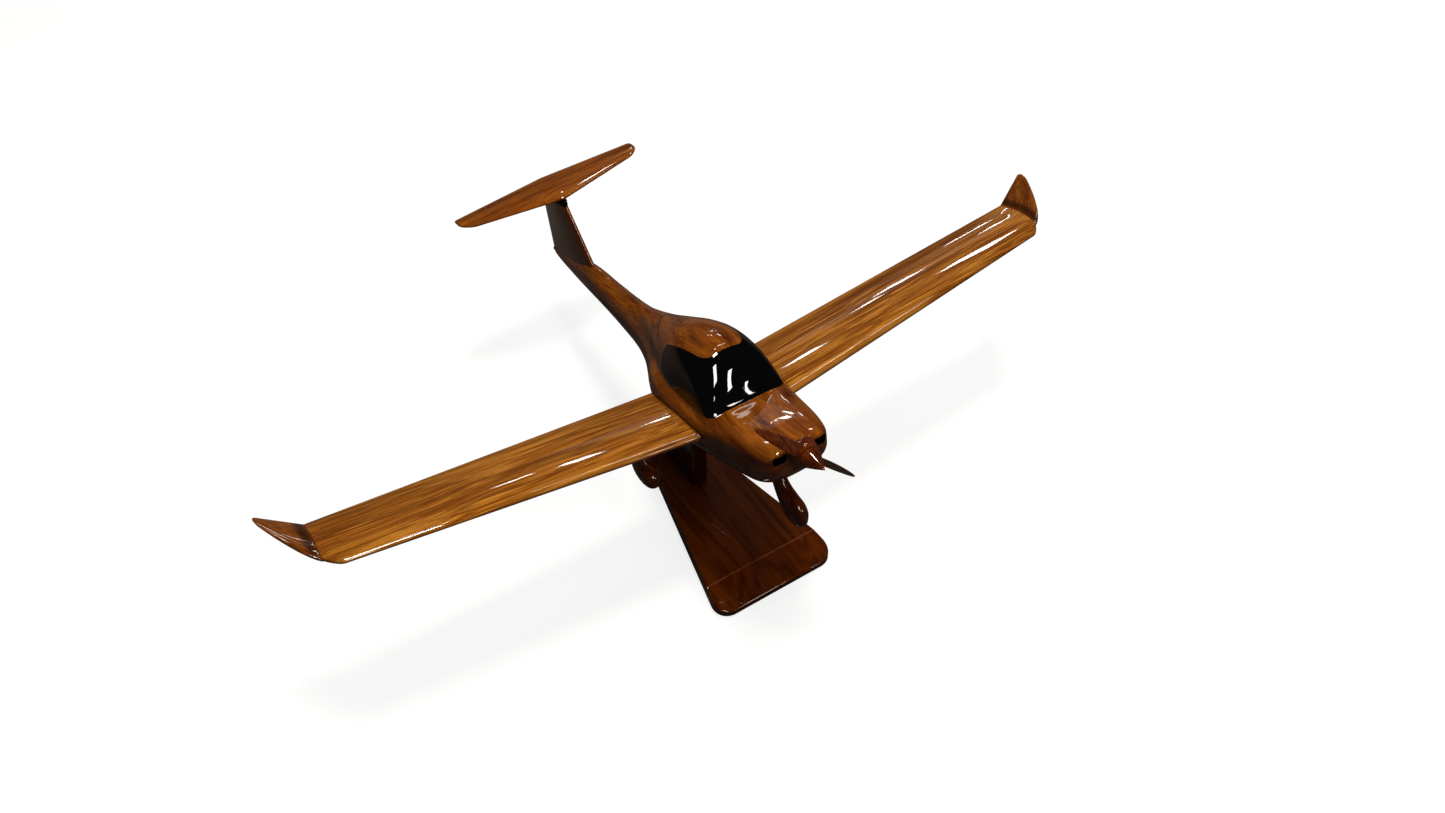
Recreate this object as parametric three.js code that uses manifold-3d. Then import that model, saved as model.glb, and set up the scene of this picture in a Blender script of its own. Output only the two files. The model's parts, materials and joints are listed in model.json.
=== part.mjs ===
// Desk model of a light single-engine T-tail aircraft, carved in mahogany, on a bevelled stand.
// Millimetres, +Z up. The origin is on the table, under the front edge of the stand's upright.
// +X is the port wing, the nose points to -Y and the tail to +Y.

import * as THREE from "three";
import { mergeVertices } from "three/addons/utils/BufferGeometryUtils.js";
import Module from "manifold-3d";

const wasm = await Module();
wasm.setup();

// ---------------------------------------------------------------- driving dimensions

const stand = {
  feltThickness: 1,
  thickness: 10,
  front: -88,
  rear: 52,
  frontHalfWidth: 44,
  rearHalfWidth: 12.5,
  cornerRadius: 12,
  rearRadius: 8,
  crease: -69,
  bevelDrop: 6,
  uprightFront: -2,
  uprightLength: 44,
  uprightThickness: 10.5,
  screwPitch: 24,
  screwRadius: 1.8,
  screwHeadRadius: 4,
  screwDepth: 22,
  screwRecess: 0.4,
  screwPoint: 2,
  pegRadius: 4,
  pegBottom: 65,
  pegTop: 96,
  pegClearance: 0.5,
  pegDrop: 20,
  feltInset: 3,
};

const pose = {
  pitch: THREE.MathUtils.degToRad(11.5),
  wingRootY: -49.35,
  wingRootZ: 119,
};

const wing = {
  rootX: 20,
  rootLead: -2.4,
  rootTrail: 49,
  rootThickness: 8.4,
  rootZ: -1.2,
  tipX: 220,
  tipLead: 10.6,
  tipTrail: 48,
  tipThickness: 5.4,
  tipZ: 18,
  rakeX: 212,
  rakeDepth: 6.6,
  dowelRadius: 2,
  dowelInboard: 16,
  dowelOutboard: 46,
  dowelPlaces: [14, 32],
};

const winglet = {
  apexX: 240.3,
  apexLead: 48.6,
  apexTrail: 54.4,
  apexZ: 30.3,
  apexThickness: 1.2,
  sweepPower: 1.5,
};

const tailplane = {
  z: 49,
  halfSpan: 62.8,
  rootLead: 194,
  tipLead: 213.5,
  rootTrail: 229.5,
  tipTrail: 224.5,
  rootThickness: 4.8,
  tipThickness: 2.4,
  cornerX: 53,
  tilt: THREE.MathUtils.degToRad(3.6),
  saddleLow: 43.6,
  saddleHigh: 46.2,
  pinRadius: 0.9,
  pinPlaces: [203, 220],
  pinLow: 34,
  pinHigh: 48.6,
};

const fin = {
  foot: -6,
  top: 45.6,
  leadAtZero: 161.2,
  leadSlope: 0.76,
  trail: 232.5,
  trailSlope: -0.03,
  footThickness: 7,
  topThickness: 5.4,
  dowelRadius: 1.3,
  dowelPlaces: [188, 212],
  dowelLow: -3.4,
  dowelHigh: 16,
};

const gear = {
  legY: 33,
  legRootX: 20,
  spatX: 47.2,
  spatNoseY: 22.4,
  spatNoseZ: -39,
  spatRise: 0.12,
  pinRadius: 0.9,
};

// Cooling inlets beside the spinner and the intake under the chin: painted blocks let into pockets.
const inlet = { inner: 8.4, outer: 14.4, low: 5.4, high: 12.2, front: -51.4, rear: -44 };
const chin = { halfWidth: 6, low: -13.2, high: -9.4, front: -43.2, rear: -37 };

const propeller = {
  z: 11.2,
  rear: -53.6,
  hubRear: -55.4,
  hubFront: -60.2,
  noseTip: -73.2,
  spinnerRadius: 7.8,
  bladeY: -57.8,
  bladeRadius: 41,
  bladeTurn: THREE.MathUtils.degToRad(-48),
  bladePitch: THREE.MathUtils.degToRad(-62),
  pinRadius: 1.25,
  pinFront: -66,
  pinRear: -34,
  bushFront: -51.8,
  bushRear: -33,
  bushRadius: 2.8,
  washerRadius: 4,
};

const gap = 0.3;
const glueHeight = 22;
const glazingDepth = 1.4;
const sillHeight = 12;
const roofHeight = 60;
const aheadOfNose = -60;

// ---------------------------------------------------------------- materials

function finish(color, roughness, metalness = 0) {
  return new THREE.MeshStandardMaterial({ color, roughness, metalness });
}

const mahogany = finish(0x8a4a1c, 0.18);
const wingWood = finish(0xa8672c, 0.18);
const darkWood = finish(0x5c2412, 0.16);
const blackGloss = finish(0x070707, 0.06);
const blackRecess = finish(0x0c0a09, 0.45);
const steel = finish(0xb4b4b0, 0.3, 1);
const brass = finish(0xb08a45, 0.3, 1);
const beech = finish(0xc79a63, 0.6);
const felt = finish(0x1d3b2a, 0.95);

// ---------------------------------------------------------------- solids and booleans

// A smooth curve through [position, value] stations, used for one dimension of a body.
function profile(stations) {
  return (at) => {
    const last = stations.length - 1;
    if (at <= stations[0][0]) return stations[0][1];
    if (at >= stations[last][0]) return stations[last][1];
    let i = 0;
    while (at > stations[i + 1][0]) i += 1;
    const slope = (k) => {
      const a = stations[Math.max(k - 1, 0)];
      const b = stations[Math.min(k + 1, last)];
      return (b[1] - a[1]) / (b[0] - a[0]);
    };
    const [x0, y0] = stations[i];
    const [x1, y1] = stations[i + 1];
    const run = x1 - x0;
    const t = (at - x0) / run;
    const startWeight = (1 + 2 * t) * (1 - t) ** 2;
    const startSlope = t * (1 - t) ** 2 * run * slope(i);
    const endWeight = t * t * (3 - 2 * t);
    const endSlope = t * t * (t - 1) * run * slope(i + 1);
    return startWeight * y0 + startSlope + endWeight * y1 + endSlope;
  };
}

function volume(position, index) {
  const a = new THREE.Vector3();
  const b = new THREE.Vector3();
  const c = new THREE.Vector3();
  let total = 0;
  for (let i = 0; i < index.length; i += 3) {
    a.fromArray(position, index[i] * 3);
    b.fromArray(position, index[i + 1] * 3);
    c.fromArray(position, index[i + 2] * 3);
    total += a.dot(b.cross(c)) / 6;
  }
  return total;
}

// A closed skin over a row of rings, each an array of the same number of points.
function skin(rings) {
  const count = rings[0].length;
  const position = [];
  const index = [];
  for (const ring of rings) {
    for (const point of ring) position.push(point.x, point.y, point.z);
  }
  for (let r = 0; r + 1 < rings.length; r += 1) {
    for (let k = 0; k < count; k += 1) {
      const a = r * count + k;
      const b = r * count + ((k + 1) % count);
      index.push(a, b, a + count, b, b + count, a + count);
    }
  }
  for (const [r, flip] of [[0, true], [rings.length - 1, false]]) {
    const centre = new THREE.Vector3();
    for (const point of rings[r]) centre.addScaledVector(point, 1 / count);
    const hub = position.length / 3;
    position.push(centre.x, centre.y, centre.z);
    for (let k = 0; k < count; k += 1) {
      const a = r * count + k;
      const b = r * count + ((k + 1) % count);
      if (flip) index.push(hub, b, a);
      else index.push(hub, a, b);
    }
  }
  if (volume(position, index) < 0) {
    for (let i = 0; i < index.length; i += 3) {
      [index[i + 1], index[i + 2]] = [index[i + 2], index[i + 1]];
    }
  }
  const geometry = new THREE.BufferGeometry();
  geometry.setAttribute("position", new THREE.Float32BufferAttribute(position, 3));
  geometry.setIndex(index);
  return geometry;
}

function solid(geometry) {
  const bare = geometry.clone();
  bare.deleteAttribute("normal");
  bare.deleteAttribute("uv");
  const merged = mergeVertices(bare, 1e-5);
  const vertProperties = new Float32Array(merged.attributes.position.array);
  const triVerts = new Uint32Array(merged.index.array);
  return new wasm.Manifold(new wasm.Mesh({ numProp: 3, vertProperties, triVerts }));
}

function unsolid(body) {
  const mesh = body.getMesh();
  const geometry = new THREE.BufferGeometry();
  geometry.setAttribute("position", new THREE.BufferAttribute(mesh.vertProperties, 3));
  geometry.setIndex(new THREE.BufferAttribute(mesh.triVerts, 1));
  return geometry;
}

function cut(geometry, ...tools) {
  let body = solid(geometry);
  for (const tool of tools) body = body.subtract(solid(tool));
  return unsolid(body);
}

function join(...geometries) {
  let body = solid(geometries[0]);
  for (const other of geometries.slice(1)) body = body.add(solid(other));
  return unsolid(body);
}

function common(first, second) {
  return unsolid(solid(first).intersect(solid(second)));
}

// A straight rod between two points.
function rod(start, end, radius, sides = 16) {
  const axis = new THREE.Vector3().subVectors(end, start);
  const length = axis.length();
  const geometry = new THREE.CylinderGeometry(radius, radius, length, sides);
  const up = new THREE.Vector3(0, 1, 0);
  const turn = new THREE.Quaternion().setFromUnitVectors(up, axis.normalize());
  geometry.applyQuaternion(turn);
  const middle = new THREE.Vector3().addVectors(start, end).multiplyScalar(0.5);
  return geometry.translate(middle.x, middle.y, middle.z);
}

function block(x0, x1, y0, y1, z0, z1) {
  const geometry = new THREE.BoxGeometry(x1 - x0, y1 - y0, z1 - z0);
  return geometry.translate((x0 + x1) / 2, (y0 + y1) / 2, (z0 + z1) / 2);
}

function vec(x, y, z) {
  return new THREE.Vector3(x, y, z);
}

function named(name, geometry, material) {
  const mesh = new THREE.Mesh(geometry, material);
  mesh.name = name;
  return mesh;
}

// One named mesh for each copy of a repeated piece.
function copies(names, geometries, material) {
  return names.map((name, i) => named(name, geometries[i], material));
}

// ---------------------------------------------------------------- fuselage shape

// The hull is the cowl, the belly and the tail boom; the cabin top sits on it as a second body.
const hull = {
  stations: [-52, -50, -46, -40, -32, -22, -12, 0, 12, 24, 36, 47, 56, 65, 75, 88, 104, 122, 145, 170,
    190, 208, 222, 231],
  halfWidth: profile([[-52, 15.6], [-50, 17.4], [-46, 19.8], [-36, 22.6], [-20, 25], [-4, 27.6],
    [12, 30.2], [28, 31], [44, 29.6], [56, 26.4], [68, 21], [82, 15.4], [100, 11], [125, 8.8],
    [170, 6.6], [205, 4.4], [231, 1.6]]),
  top: profile([[-52, 14], [-46, 14.8], [-30, 14.4], [-4, 12.4], [20, 13], [50, 14], [75, 14],
    [100, 12.4], [125, 11], [150, 10.6], [170, 11.2], [190, 8], [210, 3.6], [231, -1]]),
  bottom: profile([[-52, -2.6], [-48, -7.4], [-42, -13.4], [-34, -17.6], [-20, -21], [10, -23.8],
    [45, -24], [65, -22], [90, -17.4], [120, -13], [150, -10.6], [185, -9.4], [210, -7], [231, -3.4]]),
  waist: profile([[-52, 6.4], [-40, 3], [-20, 0], [10, -3], [45, -3], [80, -1], [120, -0.5], [170, 1],
    [231, -2.2]]),
  shoulder: profile([[-52, 4.6], [-20, 4.4], [0, 4], [40, 3.6], [70, 2.5], [100, 2.1], [231, 2]]),
  keel: profile([[-52, 2.6], [-20, 2.2], [60, 2.2], [110, 2], [231, 2]]),
};

const cabin = {
  stations: [-9, -6.5, -4, -1, 2, 5.5, 9.5, 14, 20, 28, 37, 46, 56, 68, 82, 98, 116, 134],
  halfWidth: profile([[-9, 22.4], [-5, 23.6], [2, 24.4], [15, 24.8], [34, 24.6], [48, 22.4], [62, 18],
    [80, 12], [98, 8], [116, 6], [134, 4.4]]),
  top: profile([[-9, 8.4], [-5.5, 12.4], [0, 21], [5, 28.4], [10, 34], [16, 37.4], [25, 39.2],
    [35, 38.2], [47, 34.8], [60, 29.6], [80, 21.8], [104, 14.8], [134, 9.2]]),
  bottom: profile([[-9, 3], [60, 4], [134, 2]]),
  waist: profile([[-9, 6], [0, 10], [60, 9], [100, 6], [134, 3.6]]),
  shoulder: profile([[-9, 2.6], [10, 2.2], [40, 2], [134, 2]]),
  keel: profile([[-9, 2], [134, 2]]),
};

// One cross-section: a superellipse above the waist and another below it.
function section(shape, y, grow, sides) {
  const halfWidth = shape.halfWidth(y) + grow;
  const waist = shape.waist(y);
  const rise = shape.top(y) + grow - waist;
  const drop = waist - shape.bottom(y) + grow;
  const ring = [];
  for (let k = 0; k < sides; k += 1) {
    const angle = (2 * Math.PI * (k + 0.5)) / sides;
    const c = Math.cos(angle);
    const s = Math.sin(angle);
    const power = 2 / (s > 0 ? shape.shoulder(y) : shape.keel(y));
    const across = Math.sign(c) * Math.abs(c) ** power * halfWidth;
    const height = Math.sign(s) * Math.abs(s) ** power * (s > 0 ? rise : drop);
    ring.push(vec(across, y, waist + height));
  }
  return ring;
}

function loft(shape, grow = 0, sides = 32) {
  const rings = shape.stations.map((y, i) => {
    const last = shape.stations.length - 1;
    const push = (i === last ? grow : 0) - (i === 0 ? grow : 0);
    return section(shape, y, grow, sides).map((point) => point.add(vec(0, push, 0)));
  });
  return skin(rings);
}

// A flat outline in the side view (y, z), run right across the aircraft.
function sidePrism(outline, halfDepth) {
  const depth = 2 * halfDepth;
  const geometry = new THREE.ExtrudeGeometry(outline, { depth, bevelEnabled: false, curveSegments: 6 });
  // The extrusion runs along +Z from the (y, z) plane, so it is turned to run along +X.
  geometry.applyMatrix4(new THREE.Matrix4().makeBasis(vec(0, 1, 0), vec(0, 0, 1), vec(1, 0, 0)));
  return geometry.translate(-halfDepth, 0, 0);
}

// A flat outline in the plan view (x, y), run upwards from a height.
function planPrism(outline, bottom, height) {
  const geometry = new THREE.ExtrudeGeometry(outline, {
    depth: height,
    bevelEnabled: false,
    curveSegments: 6,
  });
  return geometry.translate(0, 0, bottom);
}

// The glazed region in the side view: sill, rounded rear edge, and everything ahead of it.
function windowOutline(grow) {
  const outline = new THREE.Shape();
  outline.moveTo(-16, sillHeight - 0.6 - grow);
  outline.lineTo(-4, sillHeight - 0.4 - grow);
  outline.lineTo(34 + grow, sillHeight + 0.4 - grow);
  outline.quadraticCurveTo(43 + grow, sillHeight + 2 - grow, 46 + grow, 20);
  outline.quadraticCurveTo(47.6 + grow, 25, 46.4 + grow, 30 + grow);
  outline.lineTo(46.4 + grow, roofHeight);
  outline.lineTo(-16, roofHeight);
  outline.closePath();
  return outline;
}

// The wooden roof in the plan view: a tongue with rounded front corners that widens aft.
function roofOutline(grow) {
  const outline = new THREE.Shape();
  outline.moveTo(-8 + grow, 11.4 + grow);
  outline.lineTo(8 - grow, 11.4 + grow);
  outline.quadraticCurveTo(12 - grow, 11.8 + grow, 13.4 - grow, 18);
  outline.quadraticCurveTo(15.6 - grow, 29, 16.6 - grow, 60);
  outline.lineTo(-16.6 + grow, 60);
  outline.quadraticCurveTo(-15.6 + grow, 29, -13.4 + grow, 18);
  outline.quadraticCurveTo(-12 + grow, 11.8 + grow, -8 + grow, 11.4 + grow);
  outline.closePath();
  return outline;
}

// The shell between the cabin surface and the same surface set inwards, within the glazed region.
function glazingRegion(depth, grow) {
  const shell = cut(loft(cabin, grow > 0 ? 2 : 0), loft(cabin, -depth));
  const sides = common(shell, sidePrism(windowOutline(grow), 60));
  return cut(sides, planPrism(roofOutline(grow), 20, 60), loft(hull, grow > 0 ? -gap : gap));
}

// A slab right across the fuselage, used to split it at a height.
function layer(low, high) {
  return block(-60, 60, -80, 260, low, high);
}

// The fuselage is glued up from a lower block and a roof block that meet at the glue height.
function fuselageBlocks(lowerCuts, upperCuts) {
  const whole = join(loft(hull), loft(cabin));
  const pocket = glazingRegion(glazingDepth + gap, gap);
  const carved = cut(whole, pocket);
  const lower = cut(common(carved, layer(-roofHeight, glueHeight)), ...lowerCuts);
  const upper = cut(common(carved, layer(glueHeight + gap, roofHeight)), ...upperCuts);
  return { lower, upper };
}

// ---------------------------------------------------------------- wings and tail surfaces

// A rounded-nose section with a thin rounded tail, lying along Y at a given x.
function foil(x, lead, trail, z, thickness, sides = 20) {
  const chord = trail - lead;
  const ring = [];
  for (let k = 0; k < sides; k += 1) {
    const angle = (2 * Math.PI * (k + 0.5)) / sides;
    const along = (1 - Math.cos(angle)) / 2;
    const nose = 1.19 * Math.sqrt(along) * (1 - along);
    const middle = 0.11 * Math.sin(Math.PI * along);
    const tail = 0.09 * along;
    const side = Math.sin(angle) > 0 ? 1 : -0.72;
    ring.push(vec(x, lead + chord * along, z + side * thickness * (nose + middle + tail)));
  }
  return ring;
}

function wingStation(x) {
  const t = (x - wing.rootX) / (wing.tipX - wing.rootX);
  const pastRake = Math.max(0, x - wing.rakeX) / (wing.tipX - wing.rakeX);
  const rake = wing.rakeDepth * pastRake ** 1.6;
  return {
    lead: THREE.MathUtils.lerp(wing.rootLead, wing.tipLead, t) + rake,
    trail: THREE.MathUtils.lerp(wing.rootTrail, wing.tipTrail, t),
    thickness: THREE.MathUtils.lerp(wing.rootThickness, wing.tipThickness, t),
    z: THREE.MathUtils.lerp(wing.rootZ, wing.tipZ, t),
  };
}

function wingRing(x, side) {
  const at = wingStation(x);
  return foil(side * x, at.lead, at.trail, at.z, at.thickness);
}

function wingPanel(side) {
  const stations = [wing.rootX, 60, 110, 160, wing.rakeX, 216, wing.tipX - gap];
  return skin(stations.map((x) => wingRing(x, side)));
}

// The upturned tip: its root matches the wing's end, and it sweeps out and up to a small apex.
function wingletPanel(side) {
  const root = wingStation(wing.tipX);
  const rings = [0, 0.25, 0.5, 0.75, 0.92, 1].map((t) => {
    const x = THREE.MathUtils.lerp(wing.tipX, winglet.apexX, t);
    const lead = THREE.MathUtils.lerp(root.lead, winglet.apexLead, t ** winglet.sweepPower);
    const trail = THREE.MathUtils.lerp(root.trail, winglet.apexTrail, t);
    const z = THREE.MathUtils.lerp(root.z, winglet.apexZ, t);
    const thickness = THREE.MathUtils.lerp(root.thickness, winglet.apexThickness, t ** 0.8);
    return foil(side * x, lead, trail, z, thickness);
  });
  return skin(rings);
}

function tailplaneStation(x) {
  const t = Math.abs(x) / tailplane.halfSpan;
  const past = Math.max(0, Math.abs(x) - tailplane.cornerX);
  const round = past / (tailplane.halfSpan - tailplane.cornerX);
  return {
    lead: THREE.MathUtils.lerp(tailplane.rootLead, tailplane.tipLead - 4, t) + 6 * round ** 2,
    trail: THREE.MathUtils.lerp(tailplane.rootTrail, tailplane.tipTrail, t),
    thickness: THREE.MathUtils.lerp(tailplane.rootThickness, tailplane.tipThickness, t),
  };
}

function tailplanePanel() {
  const half = [tailplane.halfSpan, 60.6, 57, tailplane.cornerX, 30];
  const stations = [...half.map((x) => -x), 0, ...half.slice().reverse()];
  const level = skin(stations.map((x) => {
    const at = tailplaneStation(x);
    return foil(x, at.lead, at.trail, 0, at.thickness, 16);
  }));
  return level.rotateY(-tailplane.tilt).translate(0, 0, tailplane.z);
}

// The packing block between the fin's top and the tailplane.
function saddle() {
  return block(-3, 3, 195, 226, tailplane.saddleLow, tailplane.saddleHigh);
}

function finPanel() {
  const heights = [fin.foot, 12, 30, fin.top - 2.4];
  return skin(heights.map((z) => {
    const t = (z - fin.foot) / (fin.top - fin.foot);
    const thickness = THREE.MathUtils.lerp(fin.footThickness, fin.topThickness, t);
    const lead = fin.leadAtZero + fin.leadSlope * z;
    const ring = foil(0, lead, fin.trail + fin.trailSlope * z, 0, thickness, 16);
    return ring.map((point) => vec(point.z, point.y, z));
  }));
}

// ---------------------------------------------------------------- propeller

// The ogive that the spinner's parts share: radius at a distance ahead of its rear face.
function spinnerRadiusAt(ahead) {
  const t = ahead / (propeller.rear - propeller.noseTip);
  return propeller.spinnerRadius * (1 - t ** 1.5) ** 1.1;
}

// A slice of the ogive between two places along Y, closed on the axis.
function spinnerSlice(rear, front, steps) {
  const points = [new THREE.Vector2(0, 0)];
  for (let i = 0; i <= steps; i += 1) {
    const y = THREE.MathUtils.lerp(rear, front, i / steps);
    const radius = spinnerRadiusAt(propeller.rear - y);
    if (radius > 0.01) points.push(new THREE.Vector2(radius, rear - y));
  }
  points.push(new THREE.Vector2(0, rear - front));
  const geometry = new THREE.LatheGeometry(points, 28);
  // The lathe turns about +Y; the spinner points along -Y.
  geometry.rotateX(Math.PI);
  return geometry.translate(0, rear, propeller.z);
}

// One blade in its own frame: root on the axis, running out along +X and twisted about it.
function bladeShape() {
  const reach = propeller.bladeRadius;
  const stations = [3, 9, 16, 24, 32, 38, reach];
  const chord = profile([[3, 6.4], [9, 8.8], [16, 9.2], [26, 7.2], [36, 4], [reach, 1.2]]);
  const sides = 12;
  return skin(stations.map((r) => {
    const turn = propeller.bladePitch * (1 - (0.25 * r) / reach);
    const width = chord(r);
    const thickness = THREE.MathUtils.lerp(2.6, 0.8, r / reach);
    const ring = [];
    for (let k = 0; k < sides; k += 1) {
      const angle = (2 * Math.PI * k) / sides;
      const u = (Math.cos(angle) * width) / 2;
      const w = (Math.sin(angle) * thickness) / 2;
      const across = u * Math.cos(turn) - w * Math.sin(turn);
      const aft = u * Math.sin(turn) + w * Math.cos(turn);
      ring.push(vec(r, aft, across));
    }
    return ring;
  }));
}

function blade(halfTurns) {
  const geometry = bladeShape();
  geometry.rotateY(-propeller.bladeTurn + halfTurns * Math.PI);
  return geometry.translate(0, propeller.bladeY, propeller.z);
}

function axialRod(rear, front, radius, sides = 16) {
  return rod(vec(0, rear, propeller.z), vec(0, front, propeller.z), radius, sides);
}

// Both blades and the hub are one carved piece, held between the backplate and the cone.
function propellerPiece() {
  const clear = propeller.spinnerRadius + gap;
  const hub = spinnerSlice(propeller.hubRear, propeller.hubFront, 2);
  const behind = axialRod(propeller.hubRear + 6, propeller.hubRear, clear, 28);
  const ahead = axialRod(propeller.hubFront, propeller.hubFront - 8, clear, 28);
  const blades = cut(join(blade(0), blade(1)), behind, ahead);
  return cut(join(hub, blades), pinHole());
}

function pinHole() {
  return axialRod(propeller.pinRear + 1, propeller.pinFront - gap, propeller.pinRadius + gap);
}

// ---------------------------------------------------------------- landing gear

// A body of revolution-like form: oval sections strung along a path, widest in the middle.
function pod(path, widths, heights, sides = 16) {
  const rings = path.map((point, i) => {
    const before = path[Math.max(i - 1, 0)];
    const after = path[Math.min(i + 1, path.length - 1)];
    const ahead = new THREE.Vector3().subVectors(after, before).normalize();
    const across = new THREE.Vector3().crossVectors(vec(0, 0, 1), ahead);
    if (across.length() < 0.2) across.set(1, 0, 0);
    across.normalize();
    const up = new THREE.Vector3().crossVectors(ahead, across);
    const ring = [];
    for (let k = 0; k < sides; k += 1) {
      const angle = (2 * Math.PI * k) / sides;
      const spread = across.clone().multiplyScalar((Math.cos(angle) * widths[i]) / 2);
      const lift = up.clone().multiplyScalar((Math.sin(angle) * heights[i]) / 2);
      ring.push(point.clone().add(spread).add(lift));
    }
    return ring;
  });
  return skin(rings);
}

// The nose leg and its spat are one carved piece that leans forward and swells at the foot.
function noseGear() {
  const path = [[-25, -15], [-27.6, -23], [-31.6, -30], [-37.6, -35.8], [-43.4, -38.8], [-48, -40.2],
    [-50.4, -40.4]].map(([y, z]) => vec(0, y, z));
  return pod(path, [7.4, 7.2, 8, 9.6, 10, 7.6, 3], [8, 8.6, 11.8, 15.6, 16, 12, 4.6]);
}

function mainLeg(side) {
  const path = [[0, -14], [8, -19.6], [16, -26], [22, -31.4]].map(([out, z]) => {
    return vec(side * (gear.legRootX + out), gear.legY, z);
  });
  return pod(path, [13, 11, 9, 8], [4.6, 4.2, 3.8, 3.6]);
}

// Centres of the main spat's sections, from its nose aft.
function spatPath(side, stations) {
  return stations.map((aft) => {
    return vec(side * gear.spatX, gear.spatNoseY + aft, gear.spatNoseZ + gear.spatRise * aft);
  });
}

function mainSpat(side) {
  const path = spatPath(side, [0, 1.4, 4.4, 9.4, 15.4, 21.4, 26.4, 28.8]);
  const width = [2, 6, 9, 10.4, 10, 7.6, 4.4, 1.6];
  const height = [2.4, 7.4, 11.4, 13.4, 12.6, 9.4, 5.4, 2];
  return pod(path, width, height);
}

// The room a leg's foot leaves around the spat it is glued to.
function spatRoom(side) {
  return pod(spatPath(side, [4.4, 22]), [11.2, 11.2], [14.4, 14.4]);
}

// ---------------------------------------------------------------- the stand

function halfWidthAt(y) {
  const t = (y - stand.front) / (stand.rear - stand.front);
  return THREE.MathUtils.lerp(stand.frontHalfWidth, stand.rearHalfWidth, t);
}

function standOutline(inset) {
  const front = stand.front + inset;
  const rear = stand.rear - inset;
  const wide = (y) => halfWidthAt(y) - inset;
  const r = stand.cornerRadius;
  const q = stand.rearRadius;
  const outline = new THREE.Shape();
  outline.moveTo(-wide(front) + r, front);
  outline.lineTo(wide(front) - r, front);
  outline.quadraticCurveTo(wide(front), front, wide(front + r), front + r);
  outline.lineTo(wide(rear - q), rear - q);
  outline.quadraticCurveTo(wide(rear), rear, wide(rear) - q, rear);
  outline.lineTo(-wide(rear) + q, rear);
  outline.quadraticCurveTo(-wide(rear), rear, -wide(rear - q), rear - q);
  outline.lineTo(-wide(front + r), front + r);
  outline.quadraticCurveTo(-wide(front), front, -wide(front) + r, front);
  outline.closePath();
  return outline;
}

const baseTop = stand.feltThickness + stand.thickness;
const screwPlaces = [-1, 1].map((end) => {
  return stand.uprightFront + stand.uprightLength / 2 + (end * stand.screwPitch) / 2;
});
const pegY = stand.uprightFront + stand.uprightLength / 2;

// A countersunk screw driven up through the base; its hole is wider by grow and open below.
function screwShape(y, grow) {
  const foot = stand.feltThickness + stand.screwRecess;
  const head = stand.screwHeadRadius + grow;
  const shank = stand.screwRadius + grow;
  const neck = foot + stand.screwHeadRadius - stand.screwRadius + grow / 2;
  const top = baseTop + stand.screwDepth + grow;
  const points = [new THREE.Vector2(0, grow > 0 ? 0 : foot)];
  if (grow > 0) points.push(new THREE.Vector2(head, 0));
  points.push(
    new THREE.Vector2(head, foot + grow / 2),
    new THREE.Vector2(shank, neck),
    new THREE.Vector2(shank, top - stand.screwPoint),
    new THREE.Vector2(0, top),
  );
  const geometry = new THREE.LatheGeometry(points, 16);
  geometry.rotateX(Math.PI / 2);
  return geometry.translate(0, y, 0);
}

function standBase() {
  const slab = planPrism(standOutline(0), stand.feltThickness, stand.thickness);
  const over = 5;
  const slope = stand.bevelDrop / (stand.crease - stand.front);
  const wedge = new THREE.Shape();
  wedge.moveTo(stand.crease, baseTop);
  wedge.lineTo(stand.crease, baseTop + over);
  wedge.lineTo(stand.front - over, baseTop + over);
  wedge.lineTo(stand.front - over, baseTop - stand.bevelDrop - over * slope);
  wedge.closePath();
  const holes = screwPlaces.map((y) => screwShape(y, gap));
  return cut(slab, sidePrism(wedge, 2 * stand.frontHalfWidth), ...holes);
}

function baseFelt() {
  return planPrism(standOutline(stand.feltInset), 0, stand.feltThickness);
}

// ---------------------------------------------------------------- assembly

const aircraft = new THREE.Group();
aircraft.rotation.x = -pose.pitch;
aircraft.position.set(0, pose.wingRootY, pose.wingRootZ);
aircraft.updateMatrixWorld(true);
const toAircraft = aircraft.matrixWorld.clone().invert();

// Geometry given in the stand's frame, moved into the aircraft's frame.
function inAircraft(geometry) {
  return geometry.clone().applyMatrix4(toAircraft);
}

// Geometry given in the aircraft's frame, moved into the stand's frame.
function inStand(geometry) {
  return geometry.clone().applyMatrix4(aircraft.matrixWorld);
}

function pegRod(bottom, top, grow) {
  return rod(vec(0, pegY, bottom), vec(0, pegY, top), stand.pegRadius + grow, 20);
}

// The plank's top follows the belly, a little clear of it.
function upright() {
  const half = stand.uprightThickness / 2;
  const rear = stand.uprightFront + stand.uprightLength;
  const plank = block(-half, half, stand.uprightFront, rear, baseTop, stand.pegTop);
  const belly = inStand(join(loft(hull, gap), layer(0, roofHeight)));
  const socket = pegRod(stand.pegBottom - gap, stand.pegTop + stand.pegRadius, gap);
  return cut(plank, belly, socket, ...screwPlaces.map((y) => screwShape(y, gap)));
}

function wingDowels(grow) {
  const height = (x) => wingStation(x).z + 0.4;
  const dowel = (side, y) => rod(
    vec(side * (wing.dowelInboard - grow), y, height(wing.dowelInboard)),
    vec(side * (wing.dowelOutboard + grow), y, height(wing.dowelOutboard)),
    wing.dowelRadius + grow,
    12,
  );
  return [-1, 1].flatMap((side) => wing.dowelPlaces.map((y) => dowel(side, y)));
}

function finDowels(grow) {
  return fin.dowelPlaces.map((y) => {
    return rod(vec(0, y, fin.dowelLow - grow), vec(0, y, fin.dowelHigh + grow), fin.dowelRadius + grow, 10);
  });
}

function tailPins(grow) {
  const low = tailplane.pinLow - grow;
  const high = tailplane.pinHigh + grow;
  return tailplane.pinPlaces.map((y) => {
    return rod(vec(0, y, low), vec(0, y, high), tailplane.pinRadius + grow, 10);
  });
}

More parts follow.
